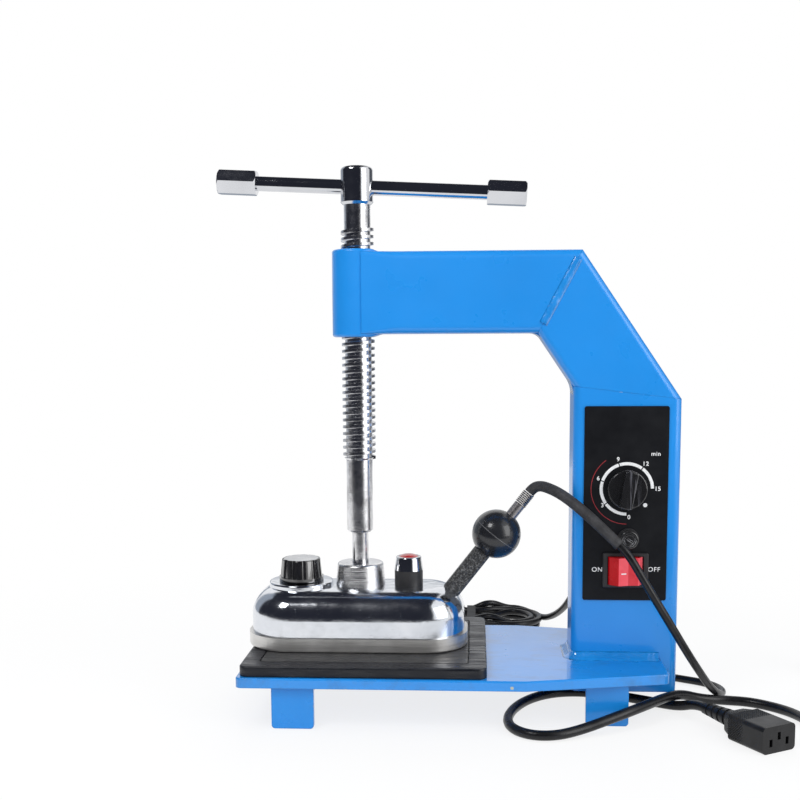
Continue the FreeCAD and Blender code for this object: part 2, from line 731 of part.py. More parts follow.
def cover_screw_places():
    inset = ACCESS_MARGIN_Z / 2
    low = COVER_PLATE_BOTTOM + inset
    high = COVER_PLATE_BOTTOM + COVER_PLATE_HEIGHT - inset
    quarter = COVER_PLATE_WIDTH / 4
    left = COVER_PLATE_LEFT + quarter
    right = COVER_PLATE_LEFT + 3 * quarter
    return [(left, low), (left, high), (right, low), (right, high)]


def bead_on_face(p, q, y, outward):
    """A low rounded bead laid on a face between two points of the XZ plane."""
    along = V(q[0] - p[0], 0, q[1] - p[1])
    side = V(along.z, 0, -along.x).normalize() * (MITRE_BEAD_WIDTH / 2)
    start = V(p[0], y, p[1])
    crown = start + V(0, outward * MITRE_BEAD_HEIGHT, 0)
    arc = Part.Arc(start - side, crown, start + side).toShape()
    chord = Part.LineSegment(start + side, start - side).toShape()
    return Part.Face(Part.Wire([arc, chord])).extrude(along)


def foot_weld():
    """The hollow fillet weld round the column, as far as the plate carries it."""
    end = PLATE_RIGHT - WELD_FROM_PLATE_END
    turn = COLUMN_LEFT + TUBE_CORNER
    slant = TUBE_CORNER * (1 - math.sqrt(0.5))
    z = PLATE_TOP
    front = Part.LineSegment(V(end, FRONT, z), V(turn, FRONT, z)).toShape()
    side_start = V(COLUMN_LEFT, FRONT + TUBE_CORNER, z)
    side_end = V(COLUMN_LEFT, BACK - TUBE_CORNER, z)
    middle = V(COLUMN_LEFT + slant, FRONT + slant, z)
    near = Part.Arc(V(turn, FRONT, z), middle, side_start).toShape()
    side = Part.LineSegment(side_start, side_end).toShape()
    middle = V(COLUMN_LEFT + slant, BACK - slant, z)
    far = Part.Arc(side_end, middle, V(turn, BACK, z)).toShape()
    back = Part.LineSegment(V(turn, BACK, z), V(end, BACK, z)).toShape()
    path = Part.Wire([front, near, side, far, back])
    toe = V(end, FRONT - WELD_LEG, z)
    heel = V(end, FRONT, z)
    top = V(end, FRONT, z + WELD_LEG)
    throat = V(end, FRONT - WELD_LEG * WELD_THROAT_SHARE, z + WELD_LEG * WELD_THROAT_SHARE)
    edges = [Part.LineSegment(toe, heel).toShape(), Part.LineSegment(heel, top).toShape()]
    edges.append(Part.Arc(top, throat, toe).toShape())
    return path.makePipeShell([Part.Wire(edges)], True, False)


def inner_corner_fill(before, corner, after, run):
    """Weld that rounds a hollow corner of the frame, between two points of the XZ plane."""
    points = [V(p[0], 0, p[1]) for p in (before, corner, after)]
    start, middle, end, radius = corner_arc(points[0], points[1], points[2], run)
    edges = [Part.LineSegment(start, points[1]).toShape(), Part.LineSegment(points[1], end).toShape()]
    edges.append(Part.Arc(end, middle, start).toShape())
    half = TUBE_DEPTH / 2 - TUBE_CORNER
    fill = Part.Face(Part.Wire(edges)).extrude(V(0, 2 * half, 0))
    fill.translate(V(0, -half, 0))
    print("corner fill radius", round(radius, 1))
    return fill


def make_welds():
    inner = (ELBOW_INNER_X, ARM_BOTTOM)
    outer = (ELBOW_OUTER_X, ARM_TOP)
    seam = (COLUMN_LEFT, SEAM_LEFT_Z)
    beads = [foot_weld()]
    beads.append(inner_corner_fill((0, ARM_BOTTOM), inner, seam, ELBOW_FILL_RUN))
    beads.append(inner_corner_fill(inner, seam, (COLUMN_LEFT, PLATE_TOP), SEAM_FILL_RUN))
    share = MITRE_BEAD_INSET / ARM_WIDTH
    run = (outer[0] - inner[0], outer[1] - inner[1])
    p = (inner[0] + run[0] * share, inner[1] + run[1] * share)
    q = (outer[0] - run[0] * share, outer[1] - run[1] * share)
    beads.append(bead_on_face(p, q, FRONT, -1))
    beads.append(bead_on_face(p, q, BACK, 1))
    return Part.makeCompound(beads)


# Thread shared by the screw and its nut

def thread_ridge(z_low, z_high, growth):
    """A trapezoidal thread ridge; growth widens it on every side for the nut's groove."""
    root = SCREW_ROOT_RADIUS - THREAD_SINK
    tip = SCREW_DIAMETER / 2 + growth
    slope = (THREAD_ROOT - THREAD_CREST) / 2 / THREAD_DEPTH
    half_root = THREAD_ROOT / 2 + growth + slope * THREAD_SINK
    half_tip = THREAD_CREST / 2 + growth
    corners = [V(root, 0, -half_root), V(tip, 0, -half_tip), V(tip, 0, half_tip), V(root, 0, half_root)]
    profile = Part.makePolygon(corners + [corners[0]])
    helix = Part.makeHelix(SCREW_PITCH, z_high - z_low, root)
    ridge = Part.Wire(helix.Edges).makePipeShell([profile], True, True)
    ridge.translate(V(0, 0, z_low))
    return ridge


def make_screw():
    low = THREAD_BOTTOM + THREAD_ROOT / 2
    high = NECK_BOTTOM - THREAD_RUN_OUT - THREAD_ROOT / 2
    core = cylinder(SCREW_ROOT_RADIUS, NECK_BOTTOM - THREAD_BOTTOM, V(0, 0, THREAD_BOTTOM))
    body = core.fuse(thread_ridge(low, high, 0.0))
    end_radius = THREAD_END_DIAMETER / 2
    end_ring = Part.makeCone(SHANK_DIAMETER / 2, end_radius, THREAD_END_RISE, V(0, 0, THREAD_BOTTOM))
    shank = cylinder(SHANK_DIAMETER / 2, THREAD_BOTTOM - SHANK_BOTTOM, V(0, 0, SHANK_BOTTOM))
    shank = shank.makeChamfer(SHANK_CHAMFER, edges_at_height(shank, SHANK_BOTTOM))
    neck = cylinder(NECK_DIAMETER / 2, CAP_BOTTOM - NECK_BOTTOM, V(0, 0, NECK_BOTTOM))
    spigot = cylinder(SPIGOT_DIAMETER / 2, SPIGOT_LENGTH, V(0, 0, CAP_BOTTOM))
    pin = cylinder(PIN_DIAMETER / 2, SHANK_BOTTOM - PIN_BOTTOM, V(0, 0, PIN_BOTTOM))
    ring = cylinder(PIN_DIAMETER / 2 + OVERSHOOT, PIN_GROOVE_WIDTH, V(0, 0, PIN_GROOVE_BOTTOM))
    pin = pin.cut(ring.cut(cylinder(PIN_GROOVE_DIAMETER / 2, PIN_GROOVE_WIDTH, V(0, 0, PIN_GROOVE_BOTTOM))))
    for part in (end_ring, shank, neck, spigot, pin):
        body = body.fuse(part)
    return body


def make_boss():
    low = ARM_BOTTOM - BOSS_OVERHANG
    height = ARM_WIDTH + 2 * BOSS_OVERHANG
    boss = cylinder(BOSS_DIAMETER / 2, height, V(0, 0, low))
    rims = edges_at_height(boss, low) + edges_at_height(boss, low + height)
    boss = boss.makeFillet(BOSS_EDGE_ROUND, rims)
    for arm_face, end in ((ARM_TOP, low + height), (ARM_BOTTOM, low)):
        boss = boss.cut(slope_to_arm(arm_face, end))
    first = THREAD_BOTTOM + THREAD_ROOT / 2
    turns_below = math.floor((low - first) / SCREW_PITCH) - 1
    start = first + turns_below * SCREW_PITCH
    turns = math.ceil((low + height - start) / SCREW_PITCH) + 1
    boss = boss.cut(thread_ridge(start, start + turns * SCREW_PITCH, THREAD_CLEARANCE))
    return drilled_up(boss, 2 * (SCREW_ROOT_RADIUS + THREAD_CLEARANCE))


def slope_to_arm(arm_face, end):
    """Cutter for the hollow curve by which one end of the boss runs out into the arm."""
    radius = BOSS_DIAMETER / 2
    middle_x = (BOSS_SLOPE_START + radius) / 2
    middle_z = (arm_face + end) / 2
    drop = (end - arm_face) / 6
    beyond = end + (end - arm_face)
    start = V(BOSS_SLOPE_START, 0, end)
    middle = V(middle_x, 0, middle_z)
    foot = V(radius, 0, arm_face)
    upper = Part.Arc(start, V((BOSS_SLOPE_START + middle_x) / 2, 0, end - drop), middle).toShape()
    lower = Part.Arc(middle, V((middle_x + radius) / 2, 0, arm_face + drop), foot).toShape()
    corners = [foot, V(2 * radius, 0, arm_face), V(2 * radius, 0, beyond)]
    corners += [V(BOSS_SLOPE_START, 0, beyond), start]
    edges = [upper, lower] + Part.makePolygon(corners).Edges
    cutter = Part.Face(Part.Wire(edges)).extrude(V(0, 2 * BOSS_DIAMETER, 0))
    cutter.translate(V(0, -BOSS_DIAMETER, 0))
    return cutter


def make_cap():
    cap = cylinder(CAP_DIAMETER / 2, CAP_TOP - CAP_BOTTOM, V(0, 0, CAP_BOTTOM))
    cap = cap.makeFillet(CAP_ROUND, edges_at_height(cap, CAP_TOP))
    cap = cap.makeChamfer(CAP_CHAMFER, edges_at_height(cap, CAP_BOTTOM))
    cap = cap.cut(cylinder(SPIGOT_DIAMETER / 2, SPIGOT_LENGTH, V(0, 0, CAP_BOTTOM)))
    radius = BAR_DIAMETER / 2 + RUNNING_CLEARANCE
    start = V(0, 0, BAR_HEIGHT) - BAR_AXIS * CAP_DIAMETER
    return cap.cut(cylinder(radius, 2 * CAP_DIAMETER, start, BAR_AXIS))


def bar_end(base, direction):
    """A hexagonal grip, chamfered at both ends and bored for the bar's tenon at the inner one."""
    grip = hexagon_prism(BAR_END_FLATS, BAR_END_LENGTH, V(0, 0, 0), V(0, 0, 1), 30.0)
    face_radius = BAR_END_FLATS / math.sqrt(3) - BAR_END_CHAMFER
    cone = Part.makeCone(face_radius, face_radius + BAR_END_LENGTH, BAR_END_LENGTH)
    grip = grip.common(cone).common(cone.mirror(V(0, 0, BAR_END_LENGTH / 2), V(0, 0, 1)))
    bore = BAR_END_LENGTH / 2
    grip = grip.cut(cylinder(BAR_TENON_DIAMETER / 2, bore, V(0, 0, BAR_END_LENGTH - bore)))
    grip.Placement = FreeCAD.Placement(base, FreeCAD.Rotation(V(0, 0, 1), direction))
    return grip


def make_bar():
    middle = V(0, 0, BAR_HEIGHT)
    start = middle - BAR_AXIS * (BAR_REACH_LEFT - BAR_END_LENGTH)
    length = BAR_REACH_LEFT + BAR_REACH_RIGHT - 2 * BAR_END_LENGTH
    bar = cylinder(BAR_DIAMETER / 2, length, start, BAR_AXIS)
    tenon = BAR_END_LENGTH / 2
    bar = bar.fuse(cylinder(BAR_TENON_DIAMETER / 2, length + 2 * tenon, start - BAR_AXIS * tenon, BAR_AXIS))
    left = bar_end(middle - BAR_AXIS * BAR_REACH_LEFT, BAR_AXIS)
    right = bar_end(middle + BAR_AXIS * BAR_REACH_RIGHT, BAR_AXIS * -1)
    return bar, Part.makeCompound([left, right])


# Pad

def make_pad():
    length = PAD_RIGHT - PAD_LEFT
    middle = (PAD_LEFT + PAD_RIGHT) / 2
    pad = rounded_prism(length, 2 * PAD_HALF_DEPTH, PAD_CORNER, PAD_THICKNESS, V(middle, 0, PLATE_TOP))
    pad = pad.makeFillet(PAD_EDGE_ROUND, edges_at_height(pad, PAD_TOP))
    inner_length = length - 2 * PAD_POCKET_MARGIN
    inner_depth = 2 * (PAD_HALF_DEPTH - PAD_POCKET_MARGIN)
    floor = V(middle, 0, PAD_TOP - PAD_POCKET_DEPTH)
    cut_height = PAD_POCKET_DEPTH + OVERSHOOT
    pocket = rounded_prism(inner_length, inner_depth, PAD_POCKET_CORNER, cut_height, floor)
    sheet_length = inner_length - 2 * PAD_GROOVE
    sheet_depth = inner_depth - 2 * PAD_GROOVE
    sheet_corner = PAD_POCKET_CORNER - PAD_GROOVE
    sheet = rounded_prism(sheet_length, sheet_depth, sheet_corner, PAD_POCKET_DEPTH, floor)
    return pad.cut(pocket), sheet


# Head

def make_heater_plate():
    centre = V(HEAD_CENTRE_X, 0, HEATER_BOTTOM)
    plate = rounded_prism(HEATER_LENGTH, HEATER_DEPTH, HEATER_CORNER, HEATER_THICKNESS, centre)
    plate = plate.makeFillet(HEATER_EDGE_ROUND, edges_at_height(plate, HEATER_BOTTOM))
    return plate.cut(cylinder(STUD_DIAMETER / 2, HEATER_THICKNESS, V(0, 0, STUD_BOTTOM)))


def handle_section(grow, start, length):
    """The handle's flat tube, from a distance along its axis, grown on every side."""
    width = HANDLE_BAR_WIDTH + 2 * grow
    depth = HANDLE_BAR_DEPTH + 2 * grow
    bar = rounded_prism(width, depth, HANDLE_BAR_ROUND, length, V(0, 0, 0))
    bar.rotate(V(0, 0, 0), V(0, 1, 0), 90 - HANDLE_ANGLE)
    bar.translate(HANDLE_BASE + HANDLE_AXIS * start)
    return bar


def make_cover():
    shells = []
    for shrink in (0.0, COVER_WALL):
        length = COVER_LENGTH - 2 * shrink
        depth = COVER_DEPTH - 2 * shrink
        centre = V(HEAD_CENTRE_X, 0, HEATER_TOP)
        body = rounded_prism(length, depth, COVER_CORNER - shrink, COVER_HEIGHT - shrink, centre)
        body = body.makeFillet(COVER_TOP_ROUND - shrink, edges_at_height(body, COVER_TOP - shrink))
        shells.append(body)
    disc = cylinder(DISC_DIAMETER / 2, DISC_HEIGHT + COVER_WALL, V(THERMOSTAT_X, 0, COVER_TOP - COVER_WALL))
    disc = disc.makeFillet(DISC_ROUND, edges_at_height(disc, DISC_TOP))
    cover = shells[0].cut(shells[1]).fuse(disc.cut(shells[1]))
    cover = drilled_up(cover, STUD_DIAMETER)
    cover = drilled_up(cover, BUSH_DIAMETER, THERMOSTAT_X)
    cover = drilled_up(cover, LAMP_STEM_DIAMETER, LAMP_X)
    return cover.cut(handle_section(0.0, -COVER_HEIGHT, 2 * COVER_HEIGHT))


def make_heater_stack():
    mica_base = V(HEAD_CENTRE_X, 0, HEATER_TOP)
    mica = rounded_prism(MICA_LENGTH, MICA_DEPTH, MICA_CORNER, MICA_THICKNESS, mica_base)
    clamp_base = V(HEAD_CENTRE_X, 0, CLAMP_BOTTOM)
    clamp = rounded_prism(MICA_LENGTH, MICA_DEPTH, MICA_CORNER, CLAMP_THICKNESS, clamp_base)
    return drilled_up(mica, STUD_DIAMETER), drilled_up(clamp, STUD_DIAMETER)


def make_cup():
    base = CUP_BASE_DIAMETER / 2
    cup = Part.makeCone(base, CUP_TOP_DIAMETER / 2, CUP_HEIGHT, V(0, 0, COVER_TOP))
    cup = cup.makeFillet(CUP_RIM_ROUND, edges_at_height(cup, CUP_TOP))
    bore = PIN_DIAMETER / 2 + RUNNING_CLEARANCE
    cup = cup.cut(cylinder(bore, CUP_HEIGHT, V(0, 0, COVER_TOP + CUP_FLOOR)))
    cup = cup.cut(cylinder(STUD_DIAMETER / 2, STUD_ENGAGEMENT, V(0, 0, COVER_TOP)))
    return cup.cut(back_cylinder(GRUB_DIAMETER, PIN_DIAMETER / 2 - OVERSHOOT, base, 0, PIN_GROOVE_MIDDLE))


def make_grub():
    """A set screw whose nose runs in the pin's groove, so that the head hangs on the turning screw."""
    z = PIN_GROOVE_MIDDLE
    tip = PIN_GROOVE_DIAMETER / 2 + REST_GAP
    shoulder = PIN_DIAMETER / 2 + GRUB_SHOULDER_GAP
    outer = CUP_TOP_DIAMETER / 2 - GRUB_SUNK
    nose = back_cylinder(PIN_GROOVE_WIDTH - 2 * REST_GAP, tip, shoulder, 0, z)
    thread = back_cylinder(GRUB_DIAMETER, shoulder, outer, 0, z)
    socket_start = V(0, outer - GRUB_SOCKET_DEPTH, z)
    socket = hexagon_prism(GRUB_SOCKET_FLATS, GRUB_SOCKET_DEPTH, socket_start, V(0, 1, 0))
    return nose.fuse(thread).cut(socket)


def make_thermostat():
    half = THERMOSTAT_BODY_SIZE / 2
    inside_top = COVER_TOP - COVER_WALL
    inside_low = inside_top - THERMOSTAT_BODY_HEIGHT
    body = block(THERMOSTAT_X - half, THERMOSTAT_X + half, -half, half, inside_low, inside_top)
    bush_top = DISC_TOP + BUSH_RISE
    body = body.fuse(cylinder(BUSH_DIAMETER / 2, bush_top - inside_top, V(THERMOSTAT_X, 0, inside_top)))
    bore = SHAFT_DIAMETER / 2 + RUNNING_CLEARANCE
    return body.cut(cylinder(bore, SHAFT_BORE_DEPTH, V(THERMOSTAT_X, 0, bush_top - SHAFT_BORE_DEPTH)))


def make_thermostat_knob():
    base = DISC_TOP + KNOB_GAP
    z_top = base + THERMOSTAT_KNOB_HEIGHT
    bush_top = DISC_TOP + BUSH_RISE
    skirt = cylinder(THERMOSTAT_KNOB_SKIRT / 2, THERMOSTAT_SKIRT_HEIGHT, V(THERMOSTAT_X, 0, base))
    grip_bottom = base + THERMOSTAT_SKIRT_HEIGHT
    grip_height = z_top - grip_bottom
    lower = THERMOSTAT_KNOB_TOP / 2 + THERMOSTAT_KNOB_LEAN
    grip = Part.makeCone(lower, THERMOSTAT_KNOB_TOP / 2, grip_height, V(THERMOSTAT_X, 0, grip_bottom))
    grip = grip.makeFillet(THERMOSTAT_KNOB_EDGE, edges_at_height(grip, z_top))
    for i in range(THERMOSTAT_FLUTES):
        angle = 2 * math.pi * (i + 0.5) / THERMOSTAT_FLUTES
        outward = V(math.cos(angle), math.sin(angle), 0)
        foot = V(THERMOSTAT_X, 0, grip_bottom) + outward * (lower + THERMOSTAT_FLUTE_OFFSET)
        lean = outward * -THERMOSTAT_KNOB_LEAN + V(0, 0, grip_height)
        grip = grip.cut(cylinder(THERMOSTAT_FLUTE_RADIUS, 2 * grip_height, foot, lean))
    insert_low = V(THERMOSTAT_X, 0, z_top - KNOB_INSERT_THICKNESS)
    insert = cylinder(KNOB_INSERT_DIAMETER / 2, KNOB_INSERT_THICKNESS, insert_low)
    shaft_low = bush_top - SHAFT_IN_BUSH
    shaft = cylinder(SHAFT_DIAMETER / 2, SHAFT_IN_BUSH + SHAFT_IN_KNOB, V(THERMOSTAT_X, 0, shaft_low))
    recess = cylinder(BUSH_DIAMETER / 2 + REST_GAP, bush_top + REST_GAP - base, V(THERMOSTAT_X, 0, base))
    knob = skirt.fuse(grip).cut(insert).cut(recess).cut(shaft)
    return knob, insert, shaft


def make_lamp():
    collar = cylinder(LAMP_COLLAR_DIAMETER / 2, LAMP_COLLAR_HEIGHT, V(LAMP_X, 0, COVER_TOP))
    stem = cylinder(LAMP_STEM_DIAMETER / 2, LAMP_STEM_DEPTH, V(LAMP_X, 0, COVER_TOP - LAMP_STEM_DEPTH))
    base = COVER_TOP + LAMP_COLLAR_HEIGHT
    top = base + LAMP_BEZEL_HEIGHT
    lower_radius = LAMP_BEZEL_DIAMETER / 2
    bezel = Part.makeCone(lower_radius, LAMP_BEZEL_TOP_DIAMETER / 2, LAMP_BEZEL_HEIGHT, V(LAMP_X, 0, base))
    bezel = bezel.makeFillet(LAMP_BEZEL_ROUND, edges_at_height(bezel, top))
    lens_radius = LAMP_LENS_DIAMETER / 2
    lens = cylinder(lens_radius, LAMP_BEZEL_HEIGHT, V(LAMP_X, 0, base))
    bezel = bezel.cut(lens)
    sphere_radius = (lens_radius ** 2 + LAMP_LENS_RISE ** 2) / (2 * LAMP_LENS_RISE)
    ball = Part.makeSphere(sphere_radius, V(LAMP_X, 0, top + LAMP_LENS_RISE - sphere_radius))
    dome = cylinder(lens_radius, LAMP_LENS_RISE + OVERSHOOT, V(LAMP_X, 0, top)).common(ball)
    return collar.fuse(stem), bezel, lens.fuse(dome).removeSplitter()


def make_handle():
    reach = BALL_DISTANCE - BALL_DIAMETER / 2 + HANDLE_IN_BALL
    inside = (HANDLE_BASE.z - CLAMP_TOP) / HANDLE_AXIS.z
    below = HANDLE_BAR_WIDTH
    bar = handle_section(0.0, -inside - below, reach + inside + below)
    bar = bar.cut(block(0, 2 * HANDLE_FOOT_X, -HANDLE_FOOT_X, HANDLE_FOOT_X, 0, CLAMP_TOP))
    foot_x = HANDLE_BASE.x - HANDLE_AXIS.x * inside - HANDLE_FOOT_SHIFT
    foot_left = foot_x - HANDLE_FOOT_LENGTH / 2
    foot_right = foot_x + HANDLE_FOOT_LENGTH / 2
    half = HANDLE_FOOT_WIDTH / 2
    foot = block(foot_left, foot_right, -half, half, CLAMP_TOP, CLAMP_TOP + HANDLE_FOOT_THICKNESS)
    bore_start = HANDLE_BASE - HANDLE_AXIS * (inside - HANDLE_BORE_START)
    bore = cylinder(HANDLE_WIRE_BORE / 2, inside + BALL_DISTANCE + BALL_DIAMETER, bore_start, HANDLE_AXIS)
    bar = bar.fuse(foot).cut(bore)
    seat = BALL_CENTRE + HANDLE_AXIS * FERRULE_SEAT
    ball = Part.makeSphere(BALL_DIAMETER / 2, BALL_CENTRE)
    ball = ball.cut(handle_section(0.0, 0.0, reach))
    ball = ball.cut(cylinder(FERRULE_DIAMETER / 2, BALL_DIAMETER, seat, HANDLE_AXIS))
    ball = ball.cut(bore)
    ferrule = cylinder(FERRULE_DIAMETER / 2, FERRULE_END - FERRULE_SEAT, seat, HANDLE_AXIS)
    ferrule = ferrule.cut(cylinder(HEAD_CORD_DIAMETER / 2, FERRULE_END, BALL_CENTRE, HANDLE_AXIS))
    return bar, ball, ferrule


def make_spring():
    radius = (SPRING_OUTER_DIAMETER - SPRING_WIRE) / 2
    wire_radius = SPRING_WIRE / 2
    height = SPRING_LENGTH - SPRING_WIRE
    helix = Part.makeHelix(height / SPRING_CURLS, height, radius)
    profile = Part.Wire(Part.makeCircle(wire_radius, V(radius, 0, 0), V(0, 1, 0)))
    spring = Part.Wire(helix.Edges).makePipeShell([profile], True, True)
    base = FERRULE_TIP + HANDLE_AXIS * wire_radius
    spring.Placement = FreeCAD.Placement(base, FreeCAD.Rotation(V(0, 0, 1), HANDLE_AXIS))
    gap = height / SPRING_CURLS - SPRING_WIRE
    print("spring gap between curls", round(gap, 2), "valid", spring.isValid())
    return spring


# Panel and its switchgear

def make_panel():
    middle_x = PANEL_LEFT + PANEL_WIDTH / 2
    middle_z = PANEL_BOTTOM + PANEL_HEIGHT / 2
    panel = rounded_prism(PANEL_WIDTH, PANEL_HEIGHT, PANEL_CORNER, PANEL_THICKNESS, V(0, 0, 0))
    panel.rotate(V(0, 0, 0), V(1, 0, 0), 90)
    panel.translate(V(middle_x, FRONT, middle_z))
    panel = drilled_back(panel, BUSH_DIAMETER, TIMER_X, TIMER_Z)
    panel = drilled_back(panel, FUSE_BODY_DIAMETER, FUSE_X, FUSE_Z)
    y0 = PANEL_FACE - OVERSHOOT
    y1 = FRONT + OVERSHOOT
    return panel.cut(cross_block(SWITCH_BODY_WIDTH, SWITCH_BODY_HEIGHT, y0, y1, SWITCH_X, SWITCH_Z))


def make_timer():
    body_rear = WALL_INSIDE_FRONT + TIMER_BODY_DEPTH
    body = cross_block(TIMER_BODY_SIZE, TIMER_BODY_SIZE, WALL_INSIDE_FRONT, body_rear, TIMER_X, TIMER_Z)
    upright = [e for e in body.Edges if e.BoundBox.YLength > TIMER_BODY_DEPTH - 0.01]
    body = body.makeFillet(TIMER_BODY_ROUND, upright)
    nut_face = PANEL_FACE - TIMER_NUT_THICKNESS
    bush_tip = nut_face - TIMER_BUSH_ABOVE_NUT
    body = body.fuse(back_cylinder(BUSH_DIAMETER, bush_tip, WALL_INSIDE_FRONT, TIMER_X, TIMER_Z))
    shaft_inner = WALL_INSIDE_FRONT + TIMER_SHAFT_IN_BODY
    bore = SHAFT_DIAMETER + 2 * RUNNING_CLEARANCE
    body = body.cut(back_cylinder(bore, bush_tip, shaft_inner + REST_GAP, TIMER_X, TIMER_Z))
    nut = hexagon_prism(TIMER_NUT_FLATS, TIMER_NUT_THICKNESS, V(TIMER_X, nut_face, TIMER_Z), V(0, 1, 0))
    nut = drilled_back(nut, BUSH_DIAMETER, TIMER_X, TIMER_Z)
    back = PANEL_FACE - KNOB_GAP
    face = back - TIMER_KNOB_HEIGHT
    rim_face = back - TIMER_KNOB_BASE_HEIGHT
    rim = back_cylinder(TIMER_KNOB_DIAMETER, rim_face, back, TIMER_X, TIMER_Z)
    rim = rim.makeFillet(TIMER_KNOB_ROUND, [e for e in rim.Edges if e.BoundBox.YMax < rim_face + 0.01])
    rib_length = TIMER_KNOB_DIAMETER - 2 * TIMER_RIB_INSET
    rib = cross_block(TIMER_RIB_WIDTH, TIMER_KNOB_DIAMETER, face, back - TIMER_RIB_SINK, TIMER_X, TIMER_Z)
    rib = rib.common(back_cylinder(rib_length, face, back, TIMER_X, TIMER_Z))
    rib = rib.makeFillet(TIMER_KNOB_ROUND, [e for e in rib.Edges if e.BoundBox.YMax < face + 0.01])
    rib.rotate(V(TIMER_X, 0, TIMER_Z), V(0, 1, 0), TIMER_RIB_TURN)
    nut_room = 2 * (TIMER_NUT_FLATS / math.sqrt(3) + TIMER_NUT_CLEARANCE)
    shaft_tip = face + TIMER_KNOB_WALL
    shaft = back_cylinder(SHAFT_DIAMETER, shaft_tip, shaft_inner, TIMER_X, TIMER_Z)
    knob = rim.fuse(rib)
    knob = knob.cut(back_cylinder(nut_room, bush_tip - REST_GAP, back, TIMER_X, TIMER_Z))
    knob = knob.cut(shaft)
    return body, nut, knob, shaft


def make_fuse():
    flange_face = PANEL_FACE - FUSE_FLANGE_THICKNESS
    link_front = PANEL_FACE + FUSE_LINK_BEHIND_FACE
    link_rear = link_front + FUSE_LINK_LENGTH
    stem_bore = FUSE_CAP_STEM_DIAMETER + 2 * RUNNING_CLEARANCE
    body = back_cylinder(FUSE_BODY_DIAMETER, PANEL_FACE, PANEL_FACE + FUSE_BODY_LENGTH, FUSE_X, FUSE_Z)
    body = body.fuse(back_cylinder(FUSE_FLANGE_DIAMETER, flange_face, PANEL_FACE, FUSE_X, FUSE_Z))
    body = body.cut(back_cylinder(stem_bore, flange_face, link_front + REST_GAP, FUSE_X, FUSE_Z))
    body = body.cut(back_cylinder(FUSE_LINK_DIAMETER, link_front, link_rear, FUSE_X, FUSE_Z))
    link = back_cylinder(FUSE_LINK_DIAMETER, link_front + REST_GAP, link_rear, FUSE_X, FUSE_Z)
    back = flange_face - REST_GAP
    front = back + FUSE_FLANGE_THICKNESS - FUSE_CAP_HEIGHT
    cap = back_cylinder(FUSE_CAP_DIAMETER, front, back, FUSE_X, FUSE_Z)
    cap = cap.makeFillet(FUSE_CAP_ROUND, [e for e in cap.Edges if e.BoundBox.YMax < front + 0.01])
    ring_floor = front + FUSE_RING_DEPTH
    ring = back_cylinder(FUSE_RING_OUTER_DIAMETER, front, ring_floor, FUSE_X, FUSE_Z)
    ring = ring.cut(back_cylinder(FUSE_RING_INNER_DIAMETER, front, ring_floor, FUSE_X, FUSE_Z))
    slot_floor = front + FUSE_SLOT_DEPTH
    slot = cross_block(FUSE_SLOT_LENGTH, FUSE_SLOT_WIDTH, front, slot_floor, FUSE_X, FUSE_Z)
    slot.rotate(V(FUSE_X, 0, FUSE_Z), V(0, 1, 0), FUSE_SLOT_TURN)
    cap = cap.cut(ring).cut(slot)
    cap = cap.fuse(back_cylinder(FUSE_CAP_STEM_DIAMETER, back, link_front, FUSE_X, FUSE_Z))
    return body, link, cap


def rocker_outline():
    """The rocker seen along its pivot: a round back, a dished face and a flat foot inside."""
    shoulder = math.sqrt(ROCKER_RADIUS ** 2 - ROCKER_PIVOT_DEPTH ** 2)
    foot_half = math.sqrt(ROCKER_RADIUS ** 2 - ROCKER_FOOT_DEPTH ** 2)
    half = [(ROCKER_TOP_HALF, -ROCKER_TOP_RISE), (shoulder, -ROCKER_PIVOT_DEPTH)]
    half += [(ROCKER_RADIUS, 0.0), (foot_half, ROCKER_FOOT_DEPTH)]
    other_half = [(-x, y) for x, y in reversed(half)]
    dish = [(0.0, ROCKER_TOP_DISH - ROCKER_TOP_RISE)]
    return [V(x, y, 0) for x, y in other_half + dish + half]


